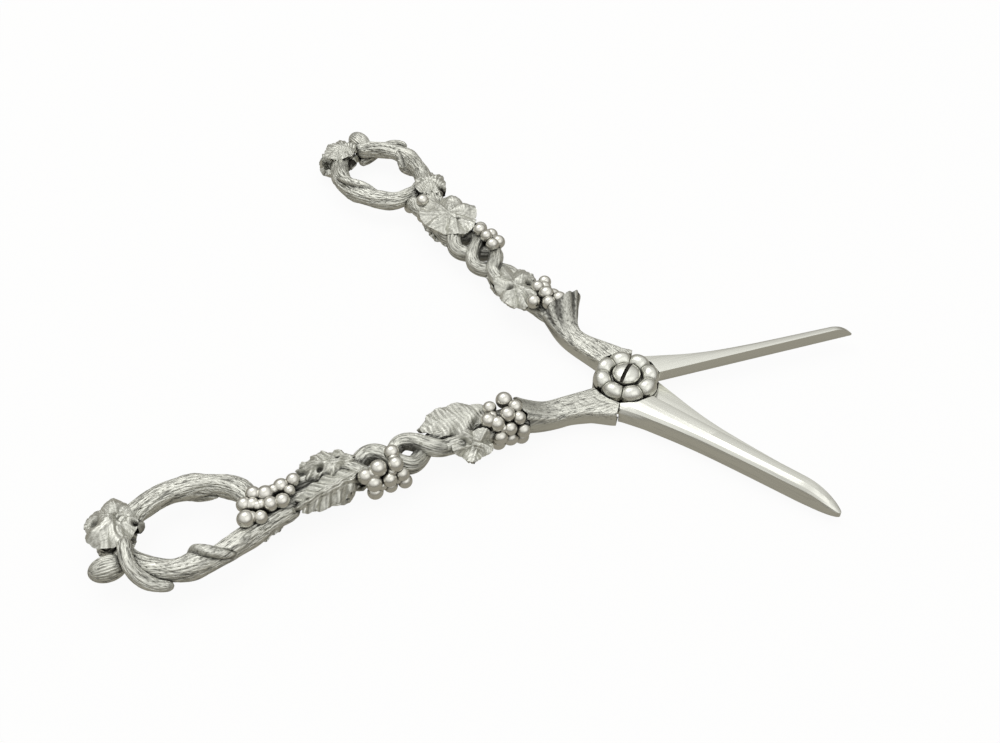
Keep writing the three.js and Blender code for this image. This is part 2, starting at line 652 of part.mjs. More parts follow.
// One ring of a leaf: its lobed outline drawn in to a share, on the upper or the under side
function leafRing(form, share, side, grow) {
  const count = form.lobes * POINTS_PER_LOBE;
  return Array.from({ length: count }, (unused, place) => {
    const turn = (2 * Math.PI * place) / count;
    const lobe = Math.cos(form.lobes * turn);
    const edge = share * (1 - (form.notch * (1 - lobe)) / 2);
    const rise = LEAF_RIPPLE * share * lobe - form.droop * share ** 2;
    const face = form.lift < 0 ? -1 : 1;
    return new THREE.Vector3(
      edge * (form.reach + grow) * Math.cos(turn),
      edge * (form.breadth + grow) * Math.sin(turn),
      face * rise + side * (LEAF_THICKNESS / 2 + grow),
    );
  });
}

// A lobed leaf: domed, rippled lobe by lobe, rolled about its midrib, turned and set on its place
function leaf(form, grow) {
  const rings = [
    leafRing(form, LEAF_HEART, -1, grow),
    leafRing(form, 1, -1, grow),
    leafRing(form, 1, 1, grow),
    leafRing(form, LEAF_HEART, 1, grow),
  ];
  const turned = new THREE.Euler(radians(form.roll), 0, radians(form.yaw), 'ZYX');
  const lie = new THREE.Matrix4().makeRotationFromEuler(turned);
  lie.setPosition(form.along, form.out, form.lift);
  return loft(rings.map((ring) => ring.map((point) => point.applyMatrix4(lie))));
}

// The rosette washer: rounded lobes round a flat washer, sunk in the middle for the screw's head
function rosette() {
  const bottom = LAP_TOP + FIT_GAP;
  const reach = (ROSETTE_RADIUS - SCREW_RADIUS) / 2;
  const lobes = Array.from({ length: ROSETTE_LOBES }, (unused, place) => {
    const shape = new THREE.SphereGeometry(1, LOBE_SIDES, LOBE_SIDES / 2);
    shape.rotateX(Math.PI / 2);
    shape.scale(reach, LOBE_HALF_WIDTH, ROSETTE_HEIGHT - ROSETTE_BASE / 2);
    shape.translate(SCREW_RADIUS + reach, 0, bottom + ROSETTE_BASE / 2);
    shape.rotateZ((2 * Math.PI * (place + 0.5)) / ROSETTE_LOBES);
    return solid(shape);
  });
  const washer = post(SCREW_RADIUS + reach, bottom, bottom + ROSETTE_BASE);
  return lobes
    .reduce((joined, lobe) => joined.add(lobe), washer)
    .subtract(post(CUT_SPAN, -CUT_SPAN, bottom))
    .subtract(post(SCREW_HEAD_RADIUS + HEAD_CLEARANCE, bottom + ROSETTE_BASE, CUT_SPAN))
    .subtract(post(SCREW_RADIUS + FIT_GAP, 0, CUT_SPAN));
}

// The pivot screw: shank flush with the underside, domed head with a slot
function pivotScrew() {
  const headBottom = LAP_TOP + 2 * FIT_GAP + ROSETTE_BASE;
  const domeBottom = headBottom + SCREW_HEAD_EDGE;
  const dome = Array.from({ length: DOME_STEPS + 1 }, (unused, step) => {
    const turn = (Math.PI / 2) * (step / DOME_STEPS);
    const radius = step === DOME_STEPS ? 0 : SCREW_HEAD_RADIUS * Math.cos(turn);
    return new THREE.Vector2(radius, domeBottom + SCREW_DOME * Math.sin(turn));
  });
  const profile = [
    new THREE.Vector2(0, 0),
    new THREE.Vector2(SCREW_RADIUS, 0),
    new THREE.Vector2(SCREW_RADIUS, headBottom),
    new THREE.Vector2(SCREW_HEAD_RADIUS, headBottom),
    ...dome,
  ];
  const turned = new THREE.LatheGeometry(profile, ROUND_SIDES).rotateX(Math.PI / 2);
  const slot = new THREE.BoxGeometry(CUT_SPAN, SCREW_SLOT_WIDTH, 2 * SCREW_SLOT_DEPTH);
  slot.rotateZ(radians(SCREW_SLOT_ANGLE));
  slot.translate(0, 0, domeBottom + SCREW_DOME);
  return solid(turned).subtract(solid(slot));
}

// Silver finishes: polished blades, chased bark, satin grapes and veined leaves
const FINISHES = {
  polished: { color: 0xd6d4cb, roughness: 0.24, metalness: 1 },
  bark: { color: 0xbdbab0, roughness: 0.46, metalness: 1 },
  grape: { color: 0xc8c5bc, roughness: 0.3, metalness: 1 },
  leaf: { color: 0xc2bfb5, roughness: 0.42, metalness: 1 },
};

// A named mesh with its own material
function piece(name, body, finish) {
  const mesh = new THREE.Mesh(geometryOf(body), new THREE.MeshStandardMaterial(FINISHES[finish]));
  mesh.name = name;
  return mesh;
}

// A handle's pieces, from what carries to what sits on it; each is made at its size or grown by a gap
function handleRecipes(trunkSizes) {
  return [
    ['trunk', 'bark', (grow) => trunk(trunkSizes, grow)],
    ['first_stem', 'bark', (grow) => stem(0, grow)],
    ['second_stem', 'bark', (grow) => stem(Math.PI, grow)],
    ['outer_branch', 'bark', outerBranch],
    ['inner_branch', 'bark', innerBranch],
    ['collar_grapes', 'grape', collarGrapes],
    ['middle_grapes', 'grape', middleGrapes],
    ['neck_grapes', 'grape', neckGrapes],
    ['neck_grape', 'grape', neckGrape],
    ['nut', 'bark', nut],
    ['tendril', 'bark', tendril],
    ['end_leaf', 'leaf', (grow) => leaf(END_LEAF, grow)],
    ['shell_leaf', 'leaf', (grow) => leaf(SHELL_LEAF, grow)],
    ['neck_leaf', 'leaf', (grow) => leaf(NECK_LEAF, grow)],
    ['rib_leaf', 'leaf', (grow) => leaf(RIB_LEAF, grow)],
    ['edge_leaf', 'leaf', (grow) => leaf(EDGE_LEAF, grow)],
    ['vine_leaf', 'leaf', (grow) => leaf(VINE_LEAF, grow)],
    ['shoot_leaf', 'leaf', (grow) => leaf(SHOOT_LEAF, grow)],
    ['scallop_leaf', 'leaf', (grow) => leaf(SCALLOP_LEAF, grow)],
    ['curl_leaf', 'leaf', (grow) => leaf(CURL_LEAF, grow)],
  ];
}

// A handle: every piece is let into the pieces before it, with the fitting gap all round
function handle(arm, trunkSizes) {
  const group = new THREE.Group();
  const carriers = [];
  for (const [name, finish, make] of handleRecipes(trunkSizes)) {
    const seated = carriers.reduce((body, carrier) => body.subtract(carrier), make(0));
    carriers.push(make(FIT_GAP));
    group.add(piece(`${arm}_${name}`, mainBody(seated), finish));
  }
  group.position.z = MID_HEIGHT + HANDLE_RISE;
  return group;
}

const shears = new THREE.Group();

const upperBlade = piece('upper_blade', narrowBlade(), 'polished');
upperBlade.rotation.z = radians(NARROW_ANGLE);
const upperHandle = handle('upper', upperTrunk);
upperHandle.rotation.z = -radians(HANDLE_ANGLE);
shears.add(upperBlade, upperHandle);

const lowerBlade = piece('lower_blade', wideBlade(), 'polished');
lowerBlade.rotation.z = radians(REBATE_ANGLE);
const lowerHandle = handle('lower', lowerTrunk);
lowerHandle.rotation.set(Math.PI, 0, radians(HANDLE_ANGLE), 'ZYX');
shears.add(lowerBlade, lowerHandle);

shears.add(piece('rosette', rosette(), 'polished'), piece('pivot_screw', pivotScrew(), 'polished'));

export default shears;
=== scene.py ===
"""Victorian vine-handled grape shears in cast silver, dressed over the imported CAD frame."""
import logging
import math
from dataclasses import dataclass, field
from enum import Enum
from typing import Callable, NamedTuple, Sequence

import bmesh
import bpy
from mathutils import Matrix, Vector, geometry, noise


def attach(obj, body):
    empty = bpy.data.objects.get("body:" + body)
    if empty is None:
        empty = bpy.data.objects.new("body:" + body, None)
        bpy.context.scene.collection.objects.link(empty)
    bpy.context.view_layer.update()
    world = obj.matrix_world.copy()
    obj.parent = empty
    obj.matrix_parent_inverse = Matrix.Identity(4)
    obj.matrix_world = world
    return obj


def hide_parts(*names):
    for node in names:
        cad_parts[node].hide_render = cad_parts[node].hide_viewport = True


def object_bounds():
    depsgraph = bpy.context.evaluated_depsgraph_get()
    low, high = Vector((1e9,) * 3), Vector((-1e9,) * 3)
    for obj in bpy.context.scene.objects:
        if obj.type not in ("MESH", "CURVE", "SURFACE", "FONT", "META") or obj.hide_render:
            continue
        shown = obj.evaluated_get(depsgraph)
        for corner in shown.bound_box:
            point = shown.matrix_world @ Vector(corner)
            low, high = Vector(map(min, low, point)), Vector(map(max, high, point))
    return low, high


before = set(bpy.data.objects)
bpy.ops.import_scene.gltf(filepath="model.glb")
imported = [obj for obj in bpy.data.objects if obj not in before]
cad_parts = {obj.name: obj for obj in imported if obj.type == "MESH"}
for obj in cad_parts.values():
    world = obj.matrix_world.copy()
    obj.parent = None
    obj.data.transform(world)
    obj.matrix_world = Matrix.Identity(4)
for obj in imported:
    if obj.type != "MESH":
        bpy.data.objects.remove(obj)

log = logging.getLogger("grape_shears")
CAD_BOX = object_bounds()
MM = 0.001
NOISE_SEED = 7  # vector noise starts from the clock without one

# The frame that both arms share, in millimetres and degrees
STEP = 0.05  # keeps faces apart that would share a plane
PIVOT_TO_LAP = 7.9  # clear of the lap's disc
COLLAR = 25.5  # where the trunk ends and the stems start
NECK = 83.8  # where the stems run into the finger loop
LOOP_END = 115.4
HANDLE_ANGLE = 143.5  # from the line between the blades
HANDLE_HEIGHT = 4.05
ARM_THICKNESS = 4.5


def linear(hex_colour: str) -> tuple[float, float, float, float]:
    """Turns an sRGB hex colour into linear red, green, blue and alpha.

    Args:
        hex_colour: Six hex digits after a hash.

    Returns:
        The linear colour with an alpha of 1.
    """
    parts = [int(hex_colour[at:at + 2], 16) / 255 for at in (1, 3, 5)]
    red, green, blue = (part / 12.92 if part <= 0.04045 else ((part + 0.055) / 1.055) ** 2.4 for part in parts)
    return red, green, blue, 1.0


def add_node(tree: bpy.types.NodeTree, kind: str, feeds: dict, **settings: object) -> bpy.types.Node:
    """Adds a node with its settings, constants and links.

    Args:
        tree: The node tree that gets the node.
        kind: The node's type name.
        feeds: Input sockets by name or number, each with a constant or the output that feeds it.
        **settings: The node's own options.

    Returns:
        The new node.
    """
    node = tree.nodes.new(kind)
    for name, value in settings.items():
        setattr(node, name, value)
    for socket, value in feeds.items():
        if isinstance(value, bpy.types.NodeSocket):
            tree.links.new(value, node.inputs[socket])
        else:
            node.inputs[socket].default_value = value
    return node


def mix(low: float, high: float, share: float) -> float:
    """Blends two numbers by a share from 0 to 1."""
    return low + (high - low) * share


def clamp(share: float) -> float:
    """Keeps a share between 0 and 1."""
    return min(1.0, max(0.0, share))


def smooth(value: float, low: float, high: float) -> float:
    """Rises gently from 0 at low to 1 at high."""
    share = clamp((value - low) / (high - low))
    return share * share * (3 - 2 * share)


def bump_at(value: float, middle: float, width: float) -> float:
    """Gives 1 at the middle, falling to about a third a width away."""
    return math.exp(-((value - middle) / width) ** 2)


def groove_at(value: float, width: float) -> float:
    """Gives 1 where a value crosses 0, falling to 0 a width away."""
    return max(0.0, 1 - abs(value) / width)


def ring_noise(turn: float, size: float, place: float) -> float:
    """Gives noise round a ring, without a seam where the ring closes."""
    return noise.noise(Vector((size * math.cos(turn), size * math.sin(turn), place)))


def nose_left(past: float) -> float:
    """Gives how much of its width a rounded nose keeps at a share of its length."""
    return math.sqrt(max(0.0, 1 - past * past))


def lap_edge(across: float) -> float:
    """Gives how far along an arm the room for the lap's disc reaches."""
    return math.sqrt(max(0.0, PIVOT_TO_LAP ** 2 - across ** 2))


def put(name: str, data: bpy.types.ID) -> bpy.types.Object:
    """Puts a mesh, a lamp or a camera in the scene.

    Args:
        name: The object's name.
        data: What it shows.

    Returns:
        The new object, at the origin.
    """
    thing = bpy.data.objects.new(name, data)
    bpy.context.scene.collection.objects.link(thing)
    return thing


@dataclass(frozen=True)
class Silver:
    """Sterling silver with one surface treatment, oxidised where polishing never reached, and darkened by painted shade
    in corners and between pieces.

    Every piece carries three attributes: grain, its own straightened coordinates in millimetres, hollow, from 0 on the
    worn tops to 1 in the cut furrows and in gaps painted with shade, and filed, 1 where the file took the tool marks
    away.
    """

    name: str
    slot: str
    bright: str
    # colour of the oxide, also used for the painted shade
    oxide_and_shade: str
    polish: float  # roughness of the worn tops
    dull: float  # roughness where the tool marks stay
    recess: float  # millimetres over which a corner holds its oxide and its painted shade
    hollow: float  # how dark a furrow is
    lines: float  # how dark the floor of a tool mark is
    pitch: float  # millimetres between tool marks
    stretch: float  # length of a tool mark to its width
    depth: float  # millimetres from the top of a tool mark to its floor

    def material(self) -> bpy.types.Material:
        """Builds the finish once and hands the same material to every piece.

        Returns:
            The procedural material.
        """
        if self.name in bpy.data.materials:
            return bpy.data.materials[self.name]
        material = bpy.data.materials.new(self.name)
        material.use_nodes = True
        tree = material.node_tree
        shader = tree.nodes["Principled BSDF"]
        marks = self.tool_marks(tree)
        oxide_and_shade = self.oxide_and_shade_cover(tree, marks)
        tone = add_node(tree, "ShaderNodeMix", {0: oxide_and_shade, 6: linear(self.bright), 7: linear(self.oxide_and_shade)},
                        data_type="RGBA")
        worn = add_node(tree, "ShaderNodeMapRange", {0: marks, 1: 0.1, 2: 0.9, 3: self.dull, 4: self.polish})
        rough = add_node(tree, "ShaderNodeMath", {0: oxide_and_shade, 1: 0.3, 2: worn.outputs[0]}, operation="MULTIPLY_ADD")
        grit = add_node(tree, "ShaderNodeBump", {"Strength": 1.0, "Distance": self.depth * MM, "Height": marks})
        shader.inputs["Metallic"].default_value = 1.0
        tree.links.new(tone.outputs[2], shader.inputs["Base Color"])
        tree.links.new(rough.outputs[0], shader.inputs["Roughness"])
        tree.links.new(grit.outputs[0], shader.inputs["Normal"])
        return material

    def tool_marks(self, tree: bpy.types.NodeTree) -> bpy.types.NodeSocket:
        """Draws the marks of the chasing punch or the polishing wheel along the grain.

        Args:
            tree: The finish's node tree.

        Returns:
            The output with the height of the marks, from 0 to 1.
        """
        grain = add_node(tree, "ShaderNodeAttribute", {}, attribute_name="grain")
        along = (1 / self.pitch, 1 / self.pitch, 1 / (self.pitch * self.stretch))
        laid = add_node(tree, "ShaderNodeMapping", {"Vector": grain.outputs["Vector"], "Scale": along})
        marks = add_node(tree, "ShaderNodeTexNoise", {
            "Vector": laid.outputs[0], "Scale": 1.0, "Detail": 5.0, "Roughness": 0.62})
        crisp = add_node(tree, "ShaderNodeMapRange", {0: marks.outputs[0], 1: 0.36, 2: 0.64, 3: 0.0, 4: 1.0})
        filed = add_node(tree, "ShaderNodeAttribute", {}, attribute_name="filed")
        left = add_node(tree, "ShaderNodeMix", {0: filed.outputs["Fac"], 2: crisp.outputs[0], 3: 0.6})
        return left.outputs[0]

    def oxide_and_shade_cover(self, tree: bpy.types.NodeTree, marks: bpy.types.NodeSocket) -> bpy.types.NodeSocket:
        """Works out where the silver turns dark: painted shade from ambient occlusion in corners between pieces, and
        oxide on the floors of furrows.

        Args:
            tree: The finish's node tree.
            marks: The height of the tool marks, which break the oxide's edge.

        Returns:
            The output with the cover, from 0 for bare silver to 1 for oxide.
        """
        # Painted shade: ambient occlusion darkens corners and gaps between pieces towards the oxide colour
        corner = add_node(tree, "ShaderNodeAmbientOcclusion", {"Distance": self.recess * MM}, samples=8)
        dark = add_node(tree, "ShaderNodeMapRange", {0: corner.outputs["AO"], 1: 0.72, 2: 0.2, 3: 0.0, 4: 0.96})
        furrow = add_node(tree, "ShaderNodeAttribute", {}, attribute_name="hollow")
        broken = add_node(tree, "ShaderNodeMapRange", {0: marks, 1: 0.8, 2: 0.3, 3: 0.4, 4: self.hollow})
        cut = add_node(tree, "ShaderNodeMath", {0: furrow.outputs["Fac"], 1: broken.outputs[0]},
                       operation="MULTIPLY")
        lines = add_node(tree, "ShaderNodeMapRange", {0: marks, 1: 0.35, 2: 0.05, 3: 0.0, 4: self.lines})
        # A hollow near 1 turns almost black: the painted shade set in gaps between parts, and the deepest oxide
        pit = add_node(tree, "ShaderNodeMapRange", {0: furrow.outputs["Fac"], 1: 0.85, 2: 1.0, 3: 0.0, 4: 0.97})
        cover = dark
        for more in (cut, pit, lines):
            cover = add_node(tree, "ShaderNodeMath", {0: cover.outputs[0], 1: more.outputs[0]}, operation="MAXIMUM")
        return cover.outputs[0]


# Wheel-polished silver: fine lines run along the blade and break the reflections into soft bands.
POLISHED = Silver("wheel_polished_silver", "polished_silver", "#E4E4DC", "#2C2822", polish=0.22, dull=0.32,
                  recess=1.1, hollow=0.7, lines=0.1, pitch=0.7, stretch=90.0, depth=0.014)
# Bark-chased silver: short strokes of a liner punch, bright on the ridges and black in the cuts.
BARK = Silver("bark_chased_silver", "bark_silver", "#E2E2D9", "#1E1B17", polish=0.28, dull=0.46,
              recess=2.4, hollow=0.88, lines=0.72, pitch=0.45, stretch=6.0, depth=0.08)
# Burnished silver: each grape is rubbed smooth by hand, so it shows a small round highlight.
GRAPE = Silver("burnished_silver", "grape_silver", "#E2E0D8", "#26221D", polish=0.2, dull=0.3,
               recess=2.2, hollow=0.6, lines=0.08, pitch=2.4, stretch=1.0, depth=0.012)
# Vein-chased silver: satin between the veins, dark in the folds of the leaf.
LEAF = Silver("vein_chased_silver", "leaf_silver", "#E3E3DA", "#1E1B17", polish=0.26, dull=0.42,
              recess=2.4, hollow=0.88, lines=0.42, pitch=0.4, stretch=5.0, depth=0.035)


class Arm(Enum):
    """The two arms: the upper one carries the narrow blade, the lower one the wide rebated blade."""

    UPPER = "upper"
    LOWER = "lower"

    @property
    def body(self) -> str:
        """Names the CAD body that the arm's pieces ride on."""
        return f"{self.value}_arm"

    @property
    def handle(self) -> Matrix:
        """Gives the handle's frame: along the arm, outwards and up, in millimetres."""
        lift = Matrix.Translation((0, 0, HANDLE_HEIGHT))
        if self is Arm.UPPER:
            return lift @ Matrix.Rotation(math.radians(-HANDLE_ANGLE), 4, "Z")
        return lift @ Matrix.Rotation(math.radians(HANDLE_ANGLE), 4, "Z") @ Matrix.Rotation(math.pi, 4, "X")

    @property
    def up(self) -> int:
        """Tells which way the handle's own height points at rest: 1 up, -1 down."""
        return 1 if self is Arm.UPPER else -1


class Spot(NamedTuple):
    """A point of a section: across and up from the line, a shift along it, how hollow and how filed it is."""

    across: float
    up: float
    ahead: float = 0.0
    hollow: float = 0.0
    filed: float = 0.0


Section = Callable[[float, float, float], Spot]


@dataclass
class Path:
    """A line through points with a frame at each that doesn't twist about the line."""

    points: Sequence[Vector]
    frames: list[Matrix] = field(init=False)
    lengths: list[float] = field(init=False)

    def __post_init__(self) -> None:
        """Carries an upright frame from the first point to the last."""
        last = len(self.points) - 1
        up = Vector((0, 0, 1))
        self.frames, self.lengths, run = [], [], 0.0
        for at, point in enumerate(self.points):
            ahead = (self.points[min(at + 1, last)] - self.points[max(at - 1, 0)]).normalized()
            up = (up - ahead * up.dot(ahead)).normalized()
            turned = Matrix((up.cross(ahead), up, ahead)).transposed().to_4x4()
            run += (point - self.points[max(at - 1, 0)]).length
            self.frames.append(Matrix.Translation(point) @ turned)
            self.lengths.append(run)

    @property
    def length(self) -> float:
        """Gives the whole length of the line."""
        return self.lengths[-1]

    @classmethod
    def straight(cls, start: float, end: float, steps: int) -> "Path":
        """Lays a line along the frame's first axis."""
        return cls([Vector((mix(start, end, step / steps), 0, 0)) for step in range(steps + 1)])


class Casting:
    """One piece in its own frame in millimetres, from the empty mesh to the dressed object."""

    def __init__(self, node: str, body: str, finish: Silver, place: Matrix) -> None:
        """Starts an empty mesh with the three attributes that the finishes read.

        Args:
            node: The CAD node that the piece stands for.
            body: The CAD body that it rides on.
            finish: Its silver.
            place: From its own frame to the shears' frame, in millimetres.
        """
        self.node, self.body, self.finish, self.place = node, body, finish, place
        self.bm = bmesh.new()
        self.turn = self.bm.verts.layers.float.new("turn")
        self.grain = self.bm.verts.layers.float_vector.new("grain")
        self.hollow = self.bm.verts.layers.float.new("hollow")
        self.filed = self.bm.verts.layers.float.new("filed")

    @classmethod
    def on_handle(cls, arm: Arm, name: str, finish: Silver) -> "Casting":
        """Starts a piece of an arm's handle, in the handle's frame."""
        return cls(f"{arm.value}_{name}", arm.body, finish, arm.handle)

    def sweep(self, path: Path, section: Section, sides: int) -> None:
        """Draws a ring of points along a line by extruding it from station to station, and closes both ends.

        Args:
            path: The line.
            section: Gives the spot for an angle round the line, a share of its length and the length so far.
            sides: Points round the ring.
        """
        ring = bmesh.ops.create_circle(self.bm, cap_ends=False, segments=sides, radius=1)["verts"]
        for vert in ring:
            vert[self.turn] = math.atan2(vert.co.y, vert.co.x) % math.tau
        edges = list({edge for vert in ring for edge in vert.link_edges})
        first = edges
        for step, station in enumerate(path.frames):
            if step:
                grown = bmesh.ops.extrude_edge_only(self.bm, edges=edges)["geom"]
                ring = [item for item in grown if isinstance(item, bmesh.types.BMVert)]
                fresh = set(ring)
                edges = [item for item in grown
                         if isinstance(item, bmesh.types.BMEdge) and set(item.verts) <= fresh]
            run = path.lengths[step]
            for vert in ring:
                spot = section(vert[self.turn], run / path.length, run)
                vert.co = station @ Vector((spot.across, spot.up, spot.ahead))
                vert[self.grain] = Vector((spot.across, spot.up, run + spot.ahead))
                vert[self.hollow] = clamp(spot.hollow)
                vert[self.filed] = spot.filed
        for loop in (first, edges):
            bmesh.ops.edgeloop_fill(self.bm, edges=loop)

    def turned(self, profile: Sequence[tuple[float, float]], sides: int) -> list[bmesh.types.BMVert]:
        """Spins a profile of (radius, height) points once round the upright axis.

        Args:
            profile: The points from the axis or a bore outwards and back.
            sides: Steps of the spin.

        Returns:
            The vertices of the new shape.
        """
        before = set(self.bm.verts)
        line = [self.bm.verts.new((radius, 0, height)) for radius, height in profile]
        edges = [self.bm.edges.new(pair) for pair in zip(line, line[1:])]
        bmesh.ops.spin(self.bm, geom=line + edges, cent=(0, 0, 0), axis=(0, 0, 1), angle=math.tau,
                       steps=sides, use_merge=True, use_duplicate=False)
        fresh = [vert for vert in self.bm.verts if vert not in before]
        bmesh.ops.remove_doubles(self.bm, verts=fresh, dist=0.001)
        fresh = [vert for vert in self.bm.verts if vert not in before]
        self.brush(fresh, Matrix.Identity(4))
        return fresh

    def brush(self, verts: Sequence[bmesh.types.BMVert], frame_of: Matrix) -> None:
        """Writes the grain of vertices from their place in a frame.

        Args:
            verts: The vertices.
            frame_of: The frame that the grain runs up in.
        """
        into = frame_of.inverted()
        for vert in verts:
            vert[self.grain] = into @ vert.co

    def dress(self, corner: float = 60.0) -> None:
        """Makes the object, gives it its silver and hangs it on the CAD frame in place of its node.

        Args:
            corner: Degrees between faces from which an edge stays sharp.
        """
        self.bm.verts.layers.float.remove(self.turn)
        bmesh.ops.transform(self.bm, matrix=Matrix.Scale(MM, 4) @ self.place, verts=self.bm.verts)
        bmesh.ops.recalc_face_normals(self.bm, faces=self.bm.faces)
        for face in self.bm.faces:
            face.smooth = True
        mesh = bpy.data.meshes.new(f"{self.node}_cast")
        self.bm.to_mesh(mesh)
        self.bm.free()
        mesh.set_sharp_from_angle(angle=math.radians(corner))
        mesh.materials.append(self.finish.material())
        cast = put(f"{self.node}_cast", mesh)
        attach(cast, self.body)
        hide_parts(self.node)
        log.info("%s: %d faces, %s", cast.name, len(mesh.polygons), self.finish.name)


@dataclass(frozen=True)
class Bark:
    """Chased bark: furrows that wander along a branch, finer strokes between them, and burls that swell it."""

    furrow: float  # depth of a furrow
    pitch: float  # between furrows round the branch
    stretch: float  # length of a furrow to its pitch
    burl: float  # rise of a burl
    seed: float
    fine: float = 0.55  # size of the strokes between the furrows to the furrows'
    lean: float = 0.03  # radians that the furrows turn in a millimetre
    groove_width: float = 0.15  # of a furrow, in the noise that draws it
    nick_width: float = 0.16
    burl_width: float = 3.2
    burl_length: float = 5.0

    def relief(self, turn: float, radius: float, run: float) -> tuple[float, float]:
        """Works out the bark at one point of a branch.

        Args:
            turn: The angle round the branch.
            radius: The branch's radius there.
            run: The length along the branch.

        Returns:
            The swell in millimetres and the hollow from 0 to 1.
        """
        lean = turn + self.lean * run
        across, up = radius * math.cos(lean), radius * math.sin(lean)
        lie = run / (self.pitch * self.stretch) + self.seed
        line = noise.noise(Vector((across / self.pitch, up / self.pitch, lie)))
        groove = groove_at(line, self.groove_width)
        pitch = self.pitch * self.fine
        stroke = noise.noise(Vector((across / pitch, up / pitch, run / (pitch * self.stretch) - self.seed)))
        nick = groove_at(stroke, self.nick_width)
        slow = noise.noise(Vector((across / self.burl_width, up / self.burl_width,
                                   run / self.burl_length + 3.7 * self.seed)))
        swell = self.burl * slow - self.furrow * (groove + self.fine * nick)
        return swell, 0.84 * max(groove, 0.6 * nick)


class Wrap(NamedTuple):
    """A thin shoot that lies round a branch: where it starts and ends along and round it, and its radius."""

    start: float
    end: float
    turn_from: float
    turn_to: float
    radius: float

    def relief(self, turn: float, branch_radius: float, run: float) -> tuple[float, float]:
        """Works out the shoot at one point of the branch.

        Args:
            turn: The angle round the branch.
            branch_radius: The branch's radius there.
            run: The length along the branch.

        Returns:
            The rise in millimetres, and the hollow beside the shoot from 0 to 1.
        """
        share = (run - self.start) / (self.end - self.start)
        if not 0 < share < 1:
            return 0.0, 0.0
        middle = math.radians(mix(self.turn_from, self.turn_to, share))
        slope = branch_radius * math.radians(self.turn_to - self.turn_from) / (self.end - self.start)
        apart = (turn - middle + math.pi) % math.tau - math.pi
        away = abs(apart) * branch_radius / math.hypot(1.0, slope)
        radius = self.radius * math.sqrt(math.sin(math.pi * share))
        rise = math.sqrt(max(0.0, radius * radius - away * away))
        return rise, bump_at(away, radius + 0.1, 0.22)


@dataclass(frozen=True)
class Branch:
    """A round branch with bark, thinner towards its root and end and rounded over at both."""

    radius: float
    root_radius: float
    end_radius: float
    bark: Bark
    sides: int = 72
    wraps: tuple[Wrap, ...] = ()
    wrap_sunk: float = 0.2  # depth of the groove beside a shoot
    end_left: float = 0.08  # share of its radius that the branch keeps at its very end

    def cast(self, casting: Casting, path: Path) -> None:
        """Draws the branch along a line."""
        casting.sweep(path, lambda turn, share, run: self.section(path, turn, share, run), self.sides)

    def section(self, path: Path, turn: float, share: float, run: float) -> Spot:
        """Gives one point of the branch's skin.

        Args:
            path: The branch's line.
            turn: The angle round it.
            share: The share of its length.
            run: The length so far.

        Returns:
            The point.
        """
        radius = mix(mix(self.root_radius, self.end_radius, share), self.radius, math.sin(math.pi * share))
        swell, hollow = self.bark.relief(turn, radius, run)
        for wrap in self.wraps:
            rise, beside = wrap.relief(turn, radius, run)
            swell += rise - self.wrap_sunk * beside
            hollow = max(hollow, beside)
        inset = max(0.0, 1 - min(run, path.length - run) / radius)
        radius = (radius + swell) * max(self.end_left, math.sqrt(1 - inset * inset))
        return Spot(radius * math.cos(turn), radius * math.sin(turn), 0.0, hollow)


